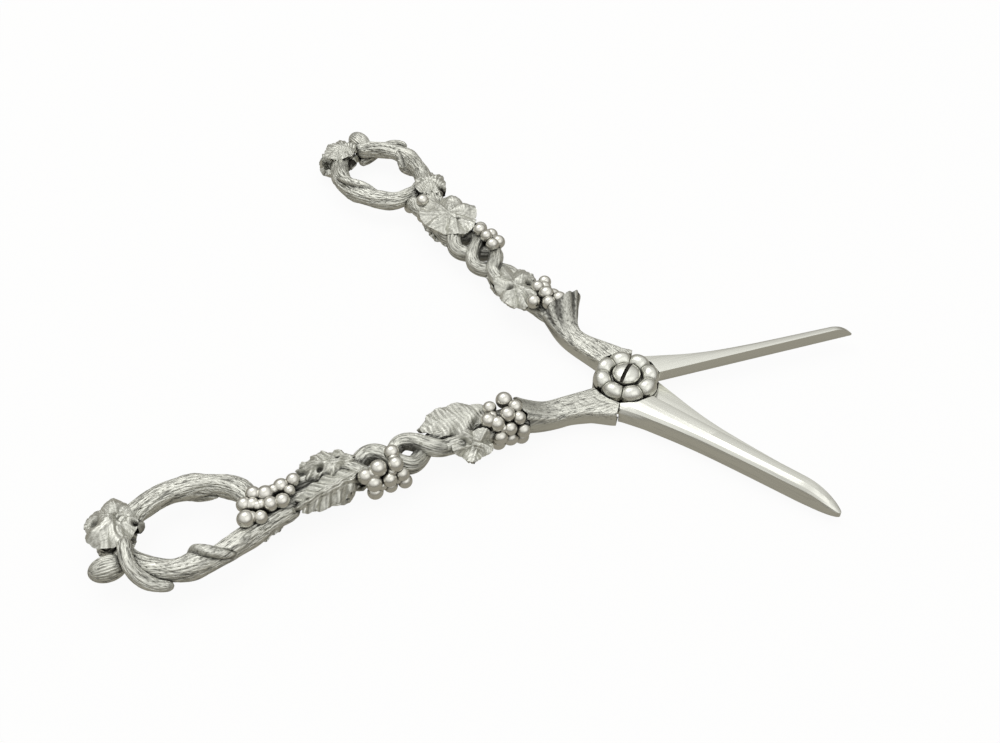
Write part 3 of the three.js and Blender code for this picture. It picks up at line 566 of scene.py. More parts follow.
@dataclass(frozen=True)
class Trunk:
    """The bark-chased shank from the lap joint to the flared collar."""

    shoulder_width: float
    shoulder_out: float
    waist_width: float
    waist_out: float
    rim_width: float
    rim_out: float
    rim_height: float
    rim_rise: float
    flute_depth: float
    keel: float  # share of its width that the rim loses underneath
    rag: float  # rise and fall of the torn rim
    tilt: float  # how much higher the rim stands on its outer side
    flutes: int = 9  # pleats round the collar
    reach: float = 0.6  # how much further the rim reaches on the side that shows at rest
    start: float = 5.5
    shoulder_end: float = 3.0
    waist_at: float = 17.0
    roundness: tuple[float, float, float] = (0.22, 0.5, 0.8)  # of the section at shoulder, waist and rim
    drop: float = 1.8  # the shank lies this far under the handle's own height
    stop_slope: float = 1.3195  # of the face that stops the shears from opening further
    steps: int = 132
    cup_steps: int = 10
    cup_depth: float = 2.2
    cup_narrow: float = 0.32  # share of the rim's size that the cup loses at its floor
    sides: int = 176
    line_size: tuple[float, float] = (0.6, 2.8)  # width and length of the long strokes
    nick_size: tuple[float, float] = (0.3, 1.5)
    line_depth: float = 0.07
    nick_depth: float = 0.05

    def cast(self, arm: Arm) -> None:
        """Draws the shank and the cup inside its collar, and dresses it.

        Args:
            arm: The arm that the shank belongs to.
        """
        casting = Casting.on_handle(arm, "trunk", BARK)
        total = self.steps + self.cup_steps
        path = Path.straight(self.start, mix(self.start, COLLAR, total / self.steps), total)
        casting.sweep(path, lambda turn, share, run: self.section(arm, turn, run), self.sides)
        casting.dress(corner=50.0)

    def root(self, out: float) -> float:
        """Gives where the shank starts at a distance outwards: by the lap's round edge or the stop."""
        return max(lap_edge(out), out / self.stop_slope)

    def section(self, arm: Arm, turn: float, run: float) -> Spot:
        """Gives one point of the shank's skin, or of the cup behind its rim.

        Args:
            arm: The arm that the shank belongs to.
            turn: The angle round the shank.
            run: The length from the shank's start, past the rim for the cup.

        Returns:
            The point.
        """
        nominal = self.start + run
        share = min(1.0, run / (COLLAR - self.start))
        cup = smooth(nominal, COLLAR, COLLAR + self.cup_steps * (COLLAR - self.start) / self.steps)
        along = min(COLLAR, nominal) - self.cup_depth * cup
        narrowing = smooth(along, self.shoulder_end, self.waist_at)
        flare = max(0.0, (along - self.waist_at) / (COLLAR - self.waist_at)) ** 2
        width = mix(self.shoulder_width, self.waist_width, narrowing) + flare * (self.rim_width - self.waist_width)
        out = mix(self.shoulder_out, self.waist_out, narrowing) + flare * (self.rim_out - self.waist_out)
        height = mix(ARM_THICKNESS, self.rim_height, flare)
        at_shoulder, at_waist, at_rim = self.roundness
        roundness = mix(mix(at_shoulder, at_waist, narrowing), at_rim, flare)
        side = math.copysign(abs(math.cos(turn)) ** roundness, math.cos(turn))
        top = math.copysign(abs(math.sin(turn)) ** roundness, math.sin(turn))
        shown = smooth(top * arm.up, -0.2, 0.4)

        # Relief: pleats towards the rim, and strokes on the side that shows
        keep = 1 - self.cup_narrow * cup
        pleat = math.cos(self.flutes * turn + 1.5 * ring_noise(turn, 1.0, along / 6))
        fold = self.flute_depth * flare * pleat * (0.15 + 0.85 * top * top * shown)
        depth, hollow = self.strokes(side * width / 2, top * height / 2, along)
        chased = smooth(top * arm.up, 0.2, 0.8) * smooth(share, 0.0, 0.08) * (1 - 0.7 * flare)
        grow = fold - depth * (0.1 + 0.9 * chased)
        under = self.keel * flare * smooth(-top * arm.up, -0.2, 1.0)
        across = out + keep * side * (width / 2 * (1 - under) + grow)
        lift = flare * (self.rim_rise + self.tilt * side) - self.drop
        up = arm.up * lift + keep * top * (height / 2 + grow)
        torn = self.rag * (ring_noise(turn, 2.5, 9.0) + 0.4 * pleat)
        rag = flare ** 2 * (torn * smooth(top * arm.up, -0.3, 0.5) + self.reach * smooth(top * arm.up, -0.5, 0.6))
        begin = self.root(across)
        reached = begin + (COLLAR - begin) * share + rag - self.cup_depth * cup

        # Oxide: broad in the pleats that show, thin in the strokes, none where the underside was filed; painted shade
        # inside the cup
        groove = smooth(-pleat, mix(-0.2, -0.6, shown), mix(0.7, 0.5, shown))
        flute = min(0.96, 2.4 * self.flute_depth) * min(1.0, 1.5 * math.sqrt(flare)) * max(0.35 * shown, groove)
        flute *= (1 - 0.7 * cup) * mix(0.5, 1.0, shown)
        # 0.4 * cup is painted shade in the collar's cup, which lies in shadow behind the rim
        dark = max(0.8 * hollow * (0.12 + 0.88 * chased), flute, 0.4 * cup)
        filed = 0.85 * (1 - shown) * (1 - flare)
        return Spot(across, up, reached - nominal, dark, filed)

    def strokes(self, across: float, up: float, along: float) -> tuple[float, float]:
        """Cuts the short strokes of the bark.

        Args:
            across: The point's place across the shank.
            up: Its height in the section.
            along: Its place along the shank.

        Returns:
            The depth in millimetres and the hollow from 0 to 1.
        """
        (wide, long), (thin, short) = self.line_size, self.nick_size
        groove = groove_at(noise.noise(Vector((across / wide, up / wide, along / long))), 0.15)
        nick = groove_at(noise.noise(Vector((across / thin, up / thin, along / short + 7))), 0.12)
        return self.line_depth * groove + self.nick_depth * nick, max(groove, 0.7 * nick)


@dataclass(frozen=True)
class TwistedStems:
    """The two vine stems, side by side at both ends and wound round each other in between."""

    radius: float = 1.95
    root_radius: float = 1.5  # inside the collar
    end_radius: float = 2.05
    spread: float = 2.0
    eye_spread: float = 3.4
    rise: float = 0.8  # how far one stem passes over the other
    twist_from: float = 45.0
    twist_length: float = 24.0
    turns: float = 1.5
    collar_out: float = 1.8
    neck_out: float = 4.3
    sunk: float = 1.2  # length that goes into the collar's cup and under the neck
    gathered: float = 0.75  # share of the spread that is left in the collar
    gathered_over: float = 9.0
    eye_reach: float = 2.6  # from the common axis to where the painted shade on the eyes' walls ends
    steps: int = 240

    def axis_out(self, along: float) -> float:
        """Gives how far outwards the stems' common axis lies."""
        share = clamp((along - COLLAR) / (NECK - COLLAR))
        return mix(self.collar_out, self.neck_out, share ** 3)

    def point(self, along: float, first_turn: float) -> Vector:
        """Gives a stem's middle at a place along the handle.

        Args:
            along: The place.
            first_turn: The stem's angle round the common axis where the twist starts.

        Returns:
            The point in the handle's frame.
        """
        wound = clamp((along - self.twist_from) / self.twist_length)
        turn = first_turn + math.tau * self.turns * wound
        spread = mix(self.spread, self.eye_spread, math.sin(math.pi * wound))
        spread *= mix(self.gathered, 1.0, smooth(along, COLLAR, COLLAR + self.gathered_over))
        return Vector((along, self.axis_out(along) + spread * math.cos(turn), self.rise * math.sin(turn)))

    def cast(self, arm: Arm) -> None:
        """Draws and dresses both stems of an arm.

        Args:
            arm: The arm that carries them.
        """
        for name, first_turn, seed in (("first_stem", 0.0, 1.3), ("second_stem", math.pi, 5.9)):
            points = [self.point(mix(COLLAR - self.sunk, NECK + self.sunk, step / self.steps), first_turn)
                      for step in range(self.steps + 1)]
            casting = Casting.on_handle(arm, name, BARK)
            bark = Bark(furrow=0.15, pitch=0.62, stretch=13.0, burl=0.42, seed=seed)
            Branch(self.radius, self.root_radius, self.end_radius, bark, 84).cast(casting, Path(points))
            self.shade_eyes(casting)
            casting.dress()

    def shade_eyes(self, casting: Casting) -> None:
        """Paints shade on the stems' faces in the gaps that they enclose between their crossings.

        Args:
            casting: The stem's casting.
        """
        for vert in casting.bm.verts:
            off = math.hypot(vert.co.y - self.axis_out(vert.co.x), vert.co.z)
            twisted = smooth(vert.co.x, self.twist_from - 2, self.twist_from + 2)
            # Painted shade on the faces near the twist's axis
            vert[casting.hollow] = max(vert[casting.hollow], 0.95 * twisted * smooth(self.eye_reach - off, 0.0, 0.7))


@dataclass(frozen=True)
class FingerLoop:
    """The two branches that bend round into the finger loop."""

    middle: float = 99.6
    half_length: float = 13.3
    half_width: float = 10.1
    out: float = 3.3
    radius: float = 2.5
    end_radius: float = 2.2
    root_radius: float = 1.6
    root_back: float = 6.0
    root_out: float = 3.8
    root_lead: float = 6.0  # length over which the root swings into the loop
    outer_arc: tuple[float, float, int] = (118.0, 4.0, 170)  # first and last angle, and steps
    inner_arc: tuple[float, float, int] = (-215.0, -4.0, 260)
    outer_shoot: Wrap = Wrap(16.0, 27.0, 10.0, 235.0, 1.25)
    inner_shoot: Wrap = Wrap(16.0, 29.0, 330.0, 225.0, 1.0)

    def point(self, degrees: float) -> Vector:
        """Gives a point of the loop's middle line by its angle from the far end."""
        turn = math.radians(degrees)
        return Vector((self.middle + self.half_length * math.cos(turn), self.out + self.half_width * math.sin(turn), 0))

    def arc(self, start: float, end: float, steps: int) -> list[Vector]:
        """Gives points of the loop's middle line between two angles."""
        return [self.point(mix(start, end, step / steps)) for step in range(steps + 1)]

    def outer_line(self) -> Path:
        """Lays the outer branch: it leaves the stems before the neck and sweeps round to the far end.

        Returns:
            The branch's line.
        """
        arc = self.arc(*self.outer_arc)
        root = Vector((NECK - self.root_back, self.out + self.root_out, 0))
        lead = arc[0] + (arc[0] - arc[1]).normalized() * self.root_lead
        away = root + (arc[0] - root) * 0.33
        return Path(geometry.interpolate_bezier(root, away, lead, arc[0], 80)[:-1] + arc)

    def cast(self, arm: Arm) -> None:
        """Draws and dresses both branches of an arm.

        Args:
            arm: The arm that carries them.
        """
        inner_line = Path(self.arc(*self.inner_arc))
        for name, root_radius, seed, shoot, line in (
                ("outer_branch", self.root_radius, 2.1, self.outer_shoot, self.outer_line()),
                ("inner_branch", self.end_radius, 8.4, self.inner_shoot, inner_line)):
            casting = Casting.on_handle(arm, name, BARK)
            bark = Bark(furrow=0.19, pitch=0.72, stretch=13.0, burl=0.6, seed=seed)
            Branch(self.radius, root_radius, self.end_radius, bark, 108, (shoot,)).cast(casting, line)
            casting.dress()


@dataclass(frozen=True)
class Grapes:
    """The bunches of an arm: round the collar, on the twist, over the neck, and one grape on the other face."""

    radius: float = 1.9
    pitch: float = 3.1
    collar_out: float = 1.9
    collar_around: int = 7
    collar_rows: tuple[int, ...] = (5, 4, 3)
    stray: float = 0.55  # how far a grape lies from its even place
    middle_at: float = 58.7
    middle_reach: float = 5.8
    middle_lean: float = 12.0
    middle_rows: tuple[int, ...] = (3, 3, 2)
    filler: float = 0.62  # size of the grape between two others, to theirs
    lone_place: tuple[float, float, float] = (79.5, 2.8, -2.6)
    neck_lift: float = 3.0
    neck_places: tuple[tuple[float, float], ...] = (
        (77.4, 2.4), (79.9, 2.7), (80.6, 7.0), (83.6, 3.8), (83.3, 6.9), (85.9, 2.9), (86.6, 5.4), (85.8, 8.9),
        (88.3, 5.0), (88.7, 8.7))
    collar_strays: tuple[tuple[float, float, float], ...] = (
        (29.2, -1.6, 3.2), (32.7, -1.0, 3.4), (34.8, 2.8, 3.4), (30.4, -1.2, -3.3), (33.5, 2.8, -3.7),
        (35.1, 6.2, -2.2))
    middle_strays: tuple[tuple[float, float, float], ...] = (
        (56.7, 3.5, 3.5), (63.6, 6.6, 2.0), (59.8, 6.2, -3.0), (56.2, 5.4, -3.5), (53.4, 5.2, -3.2), (58.2, 8.4, -1.6),
        (54.8, 8.0, -1.8))

    @property
    def row_pitch(self) -> float:
        """Gives the distance between close-packed rows."""
        return self.pitch * math.sin(math.pi / 3)

    @staticmethod
    def shown(arm: Arm, strays: Sequence[tuple[float, float, float]]) -> list[Vector]:
        """Keeps the loose grapes on the face of the handle that shows at rest."""
        return [Vector(place) for place in strays if place[2] * arm.up > 0]

    def collar(self, arm: Arm) -> list[Vector]:
        """Places rows of grapes round the stems where they leave the trunk.

        Args:
            arm: The arm that carries them.

        Returns:
            The middles of the grapes in the handle's frame.
        """
        step = math.tau / self.collar_around
        ring = self.pitch / 2 / math.sin(step / 2)
        places = []
        for row, count in enumerate(self.collar_rows):
            for place in range(count):
                turn = step * (place - (count - 1) / 2)
                if row == 0 and turn * arm.up < -step * 1.5:  # would hang out below the trunk's flare
                    continue
                along = COLLAR + 0.3 + self.radius + row * self.row_pitch
                places.append(Vector((along, self.collar_out + ring * math.cos(turn), ring * math.sin(turn))))
        return places + self.shown(arm, self.collar_strays)

    def patch(self) -> list[tuple[float, float]]:
        """Lays three close rows of grapes on the flat: along and across from the middle."""
        return [((place - (count - 1) / 2) * self.pitch, (row - 1) * self.row_pitch)
                for row, count in enumerate(self.middle_rows) for place in range(count)]

    def middle(self, arm: Arm, stems: TwistedStems) -> list[Vector]:
        """Wraps the patch round the outer side of the twisted stems.

        Args:
            arm: The arm that carries it.
            stems: The stems.

        Returns:
            The middles of the grapes in the handle's frame.
        """
        places = []
        for ahead, across in self.patch():
            turn = math.radians(self.middle_lean) + across / self.middle_reach
            out = stems.axis_out(self.middle_at) + self.middle_reach * math.cos(turn)
            places.append(Vector((self.middle_at + ahead, out, self.middle_reach * math.sin(turn))))
        return places + self.shown(arm, self.middle_strays)

    def neck(self) -> list[Vector]:
        """Lays a loose bunch over the first face where the stems run into the loop."""
        return [Vector((*place, self.neck_lift)) for place in self.neck_places]

    def cast(self, arm: Arm, stems: TwistedStems) -> None:
        """Draws and dresses the bunches of an arm.

        Args:
            arm: The arm that carries them.
            stems: The stems that the middle bunch wraps.
        """
        bunches = {"collar_grapes": self.collar(arm), "middle_grapes": self.middle(arm, stems),
                   "neck_grapes": self.neck(), "neck_grape": [Vector(self.lone_place)]}
        for name, places in bunches.items():
            casting = Casting.on_handle(arm, name, GRAPE)
            strayed = [place + self.stray * noise.noise_vector(place * 1.37) for place in places]
            for place in strayed:
                self.berry(casting, place, self.radius * (0.88 + 0.22 * noise.noise(place * 0.9)))
            near = [pair for pair in zip(strayed, strayed[2:]) if (pair[0] - pair[1]).length < 2 * self.pitch]
            for one, two in near:
                self.berry(casting, (one + two) / 2 + 0.7 * noise.noise_vector(one), self.filler * self.radius)
            casting.dress()

    def berry(self, casting: Casting, place: Vector, size: float) -> None:
        """Adds one grape, slightly out of round.

        Args:
            casting: The bunch's casting.
            place: The grape's middle.
            size: Its radius.
        """
        spread = Matrix.Diagonal((1 + 0.05 * noise.noise(place * 1.7), 1.0, 0.97, 1.0))
        berry = bmesh.ops.create_icosphere(
            casting.bm, subdivisions=4, radius=size, matrix=Matrix.Translation(place) @ spread)["verts"]
        casting.brush(berry, Matrix.Identity(4))


@dataclass(frozen=True)
class LoopEnd:
    """The ribbed nut bud and the hooked tendril at the loop's far end."""

    nut_length: float = 7.6
    nut_radius: float = 2.6
    nut_middle: tuple[float, float] = (116.1, 7.6)
    nut_ribs: int = 27
    nut_steps: int = 60
    tendril_steps: int = 90
    tendril_radius: float = 1.5
    tendril_tip: float = 1.1
    tendril_clear: float = 3.4
    tendril_arc: tuple[float, float] = (72.0, 6.0)
    tendril_climb: tuple[float, float] = (-10.0, 105.0)

    def cast(self, arm: Arm, loop: FingerLoop) -> None:
        """Draws and dresses both pieces of an arm.

        Args:
            arm: The arm that carries them.
            loop: The loop that they close.
        """
        nut = Casting.on_handle(arm, "nut", BARK)
        along, out = self.nut_middle
        ends = (along - self.nut_length / 2, along + self.nut_length / 2)
        line = Path([Vector((mix(*ends, 0.5 - 0.5 * math.cos(math.pi * step / self.nut_steps)), out, 0))
                     for step in range(self.nut_steps + 1)])
        nut.sweep(line, self.nut_section, 6 * self.nut_ribs)
        nut.dress()
        tendril = Casting.on_handle(arm, "tendril", BARK)
        bark = Bark(furrow=0.16, pitch=0.55, stretch=14.0, burl=0.3, seed=6.6)
        Branch(self.tendril_radius, self.tendril_tip, self.tendril_radius, bark, 72).cast(
            tendril, self.tendril_line(loop))
        tendril.dress()

    def nut_section(self, turn: float, share: float, run: float) -> Spot:
        """Gives one point of the nut's ribbed skin.

        Args:
            turn: The angle round the nut.
            share: The share of its length.
            run: The length so far.

        Returns:
            The point.
        """
        round_share = math.sqrt(max(0.0004, 1 - (2 * share - 1) ** 2))
        wander = 1.4 * ring_noise(turn, 1.0, run / 2.5)
        rib = math.cos(self.nut_ribs * turn + wander)
        radius = round_share * (self.nut_radius + 0.05 * rib)
        return Spot(radius * math.cos(turn), radius * math.sin(turn), 0.0, 0.7 * smooth(-rib, 0.2, 1.0))

    def tendril_line(self, loop: FingerLoop) -> Path:
        """Lays the tendril along the outer branch and over it to the end leaf.

        Args:
            loop: The loop that carries it.

        Returns:
            The tendril's line.
        """
        points = []
        centre = Vector((loop.middle, loop.out, 0))
        for step in range(self.tendril_steps + 1):
            share = step / self.tendril_steps
            middle = loop.point(mix(*self.tendril_arc, share))
            away = (middle - centre).normalized()
            climb = math.radians(mix(*self.tendril_climb, smooth(share, 0, 1)))
            points.append(middle + away * (self.tendril_clear * math.cos(climb))
                          + Vector((0, 0, self.tendril_clear * math.sin(climb))))
        return Path(points)


class Veins(Enum):
    """How a leaf's veins run: from its stalk to each lobe, off a midrib, as a fan of ribs, or straight across."""

    PALM = "palm"
    FEATHER = "feather"
    FAN = "fan"
    RIBS = "ribs"


@dataclass(frozen=True)
class Leaf:
    """A cast leaf: lobed, crumpled over what carries it, with raised veins and dark pits between its folds."""

    name: str
    along: float
    out: float
    lift: float
    roll: float  # degrees about its midrib
    yaw: float  # degrees in its own plane
    reach: float
    breadth: float
    lobes: int
    notch: float
    droop: float
    veins: Veins
    crumple: float = 0.5  # rise and fall of its folds
    first_lobe: float = 0.0  # direction of a lobe's tip, in degrees
    pits: tuple[tuple[float, float, float], ...] = ()  # along, across and radius
    thickness: float = 1.0
    ripple: float = 0.35  # rise of a lobe over the notch beside it
    teeth: float = 0.02  # depth of the small teeth to the leaf's size
    fold: float = 2.4  # millimetres from fold to fold
    tuck: float = 0.0  # share of its breadth that it draws in where it lies on the hidden face
    sides: int = 176
    rings: int = 32
    pit_depth: float = 1.5

    @property
    def face(self) -> int:
        """Tells which face of the handle the leaf lies on: 1 the first, -1 the other."""
        return -1 if self.lift < 0 else 1

    def lobe(self, turn: float) -> float:
        """Gives 1 at a lobe's tip, falling to 0 in the notch beside it."""
        return abs(math.cos(self.lobes * (turn - math.radians(self.first_lobe)) / 2))

    def edge(self, turn: float) -> float:
        """Gives the outline as a share of the oval that the leaf fills.

        Args:
            turn: The direction from the leaf's middle.

        Returns:
            The share.
        """
        tooth = 1 - abs(math.cos(2.5 * self.lobes * turn + 0.7))
        uneven = ring_noise(turn, 1.4, self.along)
        return (1 - self.notch * (1 - self.lobe(turn)) ** 1.4 - self.teeth * tooth) * (1 + 0.12 * uneven)

    def vein(self, spot: Vector, share: float) -> tuple[float, float]:
        """Works out the veins at a point.

        Args:
            spot: The point on the flat, along and across in millimetres.
            share: Its share of the way to the edge.

        Returns:
            The rise in millimetres and the hollow from 0 to 1.
        """
        waver = noise.noise(spot.to_3d() * 0.5 + Vector((0, 0, self.along)))
        if self.veins is Veins.RIBS:
            rib = math.cos(math.tau * (spot.x + 0.35 * spot.y + 0.6 * waver))
            return 0.1 * rib, 0.6 * max(0.0, -rib) ** 3
        if self.veins is Veins.FAN:
            ray = spot - Vector((-1.05 * self.reach, 0.0))
            rib = math.cos(42 * math.atan2(ray.y, ray.x) + 1.5 * waver)
            return 0.13 * rib * smooth(share, 0.1, 0.6), 0.75 * max(0.0, -rib) ** 2
        if self.veins is Veins.FEATHER:
            rib = math.cos(math.tau * (spot.x - 0.8 * abs(spot.y) + 0.4 * waver) / 1.3)
            width = mix(1.25, 0.5, smooth(spot.x, -self.reach, self.reach))
            mid = bump_at(spot.y + 0.5 * waver, 0.0, width)
            grain = math.cos(math.tau * (spot.y + 0.3 * waver) / 0.55)
            return 0.1 * rib * (1 - mid) + mid * (0.8 + 0.07 * grain), 0.75 * max(0.0, -mix(rib, grain, mid)) ** 2
        best, run = self.nearest_vein(spot)
        mid = bump_at(best, 0.0, 0.22)
        beside = bump_at(best, 0.4, 0.18)
        rib = math.cos(math.tau * (run - 0.9 * best + 0.3 * waver) / 1.2)
        return 0.05 * rib * (1 - mid) + 0.16 * mid, max(0.6 * beside, 0.6 * (1 - mid) * max(0.0, -rib) ** 4)

    def nearest_vein(self, spot: Vector) -> tuple[float, float]:
        """Finds the nearest of the veins that run from the stalk to the lobes.

        Args:
            spot: The point on the flat.

        Returns:
            The distance to that vein and the length along it.
        """
        stalk = Vector((-0.35 * self.reach, 0.0))
        found = []
        for place in range(self.lobes):
            way = math.radians(self.first_lobe) + math.tau * place / self.lobes
            tip = Vector((self.reach * math.cos(way), self.breadth * math.sin(way))) - stalk
            along = max(0.0, (spot - stalk).dot(tip.normalized()))
            found.append(((spot - stalk - tip.normalized() * along).length, along))
        return min(found)

    def cast(self, arm: Arm) -> None:
        """Draws the leaf from a grid bent round its middle, thickens it and dresses it.

        Args:
            arm: The arm that carries it.
        """
        casting = Casting.on_handle(arm, self.name, LEAF)
        tuck = self.tuck if self.face != arm.up else 0.0
        sheet = bmesh.ops.create_grid(casting.bm, x_segments=self.sides, y_segments=self.rings, size=1)["verts"]
        lie = (Matrix.Translation((self.along, mix(self.out, 2.0, tuck), self.lift))
               @ Matrix.Rotation(math.radians(self.yaw), 4, "Z") @ Matrix.Rotation(math.radians(self.roll), 4, "X")
               @ Matrix.Diagonal((1.0, 1.0 - tuck, 1.0, 1.0)))
        for vert in sheet:
            self.shape(casting, vert, lie)
        bmesh.ops.remove_doubles(casting.bm, verts=casting.bm.verts, dist=0.004)
        bmesh.ops.recalc_face_normals(casting.bm, faces=casting.bm.faces)
        top = sum((face.normal.z * face.calc_area() for face in casting.bm.faces), 0.0)
        if top * self.face < 0:
            bmesh.ops.reverse_faces(casting.bm, faces=casting.bm.faces)
        bmesh.ops.solidify(casting.bm, geom=casting.bm.faces[:], thickness=self.thickness)
        casting.dress(corner=75.0)

    def shape(self, casting: Casting, vert: bmesh.types.BMVert, lie: Matrix) -> None:
        """Moves one point of the flat grid to its place on the leaf.

        Args:
            casting: The leaf's casting.
            vert: The point.
            lie: The leaf's place on the handle.
        """
        turn, share = math.pi * (vert.co.x + 1), (vert.co.y + 1) / 2
        edge = share * self.edge(turn)
        spot = Vector((edge * self.reach * math.cos(turn), edge * self.breadth * math.sin(turn)))
        rise, hollow = self.vein(spot, share)
        fold = noise.noise(Vector((spot.x / self.fold, spot.y / self.fold, self.along)))
        crease = groove_at(fold, 0.12) * min(1.0, 2 * self.crumple)
        wave = 2 * self.lobe(turn) - 1
        if self.veins in (Veins.FEATHER, Veins.RIBS):
            wave = math.cos(math.pi * self.lobes * (spot.x - 0.8 * abs(spot.y)) / (2 * self.reach))
        pillow = self.ripple * share * wave
        height = 0.55 + pillow - self.droop * share ** 2 + rise + self.crumple * (2 * fold - 0.4 * crease)
        hollow = max(hollow, 0.7 * crease * self.crumple)
        for along, across, radius in self.pits:
            pit = bump_at((spot - Vector((along, across))).length, 0.0, radius)
            height -= self.pit_depth * pit
            hollow = max(0.84 * hollow, min(1.0, 1.9 * pit))
        vert.co = lie @ Vector((spot.x, spot.y, self.face * height))
        vert[casting.grain] = Vector((edge * self.reach * turn, height, share * self.reach))
        vert[casting.hollow] = hollow


# In each row: name, along, out, lift, roll, yaw, reach, breadth, lobes, notch, droop and veins, then what is special
LEAVES = (
    Leaf("end_leaf", LOOP_END - 1.8, -1.2, 3.1, 0.0, 0.0, 5.3, 6.1, 5, 0.1, 1.9, Veins.PALM, crumple=0.75,
         first_lobe=36.0, pits=((2.9, -1.1, 0.8), (-2.1, -0.3, 0.75), (-4.4, 1.2, 0.55)), thickness=1.4,
         ripple=0.3, fold=3.4),
    Leaf("shell_leaf", LOOP_END - 1.9, -0.4, -3.0, 0.0, 0.0, 4.2, 4.6, 7, 0.04, 1.6, Veins.FAN, crumple=0.1,
         first_lobe=36.0),
    Leaf("neck_leaf", NECK + 1.4, 9.4, -3.05, 0.0, 30.0, 5.2, 4.2, 7, 0.08, 1.6, Veins.FAN, crumple=0.2,
         pits=((-3.0, 2.7, 0.75),), tuck=0.25),
    Leaf("rib_leaf", COLLAR + 15.4, -1.4, 2.6, -16.0, -4.0, 7.4, 3.7, 7, 0.05, 1.1, Veins.RIBS, crumple=0.1,
         ripple=0.4, teeth=0.0, tuck=0.4),
    Leaf("edge_leaf", NECK - 13.8, 0.7, 2.9, -10.0, -4.0, 6.4, 3.5, 9, 0.12, 1.6, Veins.FEATHER, crumple=0.4,
         pits=((1.4, 0.9, 0.6), (-2.6, -0.6, 0.45)), ripple=0.4, teeth=0.04, tuck=0.4),
    Leaf("vine_leaf", NECK - 13.3, 4.2, -3.3, 0.0, 0.0, 8.8, 6.9, 7, 0.1, 1.4, Veins.PALM, crumple=0.45,
         pits=((-3.4, 0.6, 0.5),), ripple=0.7, teeth=0.015, fold=2.8, tuck=0.4),
    Leaf("shoot_leaf", COLLAR + 12.5, -0.8, -3.2, -8.0, 18.0, 8.2, 4.9, 6, 0.16, 1.7, Veins.PALM, crumple=0.45,
         pits=((-0.3, -1.4, 0.9), (-0.2, 3.4, 0.6)), ripple=0.5, fold=3.0, tuck=0.4),
    Leaf("scallop_leaf", NECK - 12.8, 6.8, 2.1, -26.0, 15.0, 8.0, 3.3, 11, 0.14, 1.4, Veins.FEATHER, crumple=0.12,
         ripple=0.4, teeth=0.0),
    Leaf("curl_leaf", COLLAR + 14, 6.0, 0.9, -30.0, 0.0, 4.5, 3.7, 5, 0.16, 0.2, Veins.PALM, crumple=0.4,
         pits=((1.9, -1.2, 0.7),), ripple=0.6, tuck=0.3),
)


@dataclass(frozen=True)
class Handle:
    """One arm's cast handle: trunk, twisted stems, finger loop, fruit and leaves."""

    arm: Arm
    trunk: Trunk
    stems: TwistedStems = TwistedStems()
    loop: FingerLoop = FingerLoop()
    grapes: Grapes = Grapes()
    loop_end: LoopEnd = LoopEnd()

    def cast(self) -> None:
        """Casts every piece from what carries to what sits on it."""
        self.trunk.cast(self.arm)
        self.stems.cast(self.arm)
        self.loop.cast(self.arm)
        self.grapes.cast(self.arm, self.stems)
        self.loop_end.cast(self.arm, self.loop)
        for leaf in LEAVES:
            leaf.cast(self.arm)


@dataclass(frozen=True)
class BladeEdge:
    """The edge of a blade: widths at four places, drawn as one curve, and a rounded nose."""

    knots: tuple[tuple[float, float], ...]
    length: float
    nose: float

    def line(self) -> list[Vector]:
        """Draws the curve through the widths.

        Returns:
            Points of the curve: along and width.
        """
        last = len(self.knots) - 1
        spots = [Vector((*knot, 0)) for knot in self.knots]
        drawn: list[Vector] = []
        for at in range(last):
            before, after = spots[max(0, at - 1)], spots[min(last, at + 2)]
            leave = spots[at] + (spots[at + 1] - before) / 6
            reach = spots[at + 1] - (after - spots[at]) / 6
            drawn += geometry.interpolate_bezier(spots[at], leave, reach, spots[at + 1], 60)
        return drawn

    def nose_share(self, along: float) -> float:
        """Gives how much of its width the blade keeps on the rounded nose."""
        past = max(0.0, (along - self.length + self.nose) / self.nose)
        return nose_left(past)

    def width(self, along: float) -> float:
        """Gives the blade's width at a place along it, without the nose.

        Args:
            along: The distance from the pivot.

        Returns:
            The width.
        """
        drawn = self.line()
        for low, high in zip(drawn, drawn[1:]):
            if low.x <= along <= high.x and high.x > low.x:
                return mix(low.y, high.y, (along - low.x) / (high.x - low.x))
        return drawn[0].y if along < drawn[0].x else drawn[-1].y


NARROW_KNOTS = ((2, 8.6), (7, 6.4), (22, 3.35), (52.2, 1.95))
WIDE_KNOTS = ((2, 8.9), (7, 7.0), (22, 4.5), (48, 3.3))
LEAST_WIDTH = 0.05  # of a blade at its tip

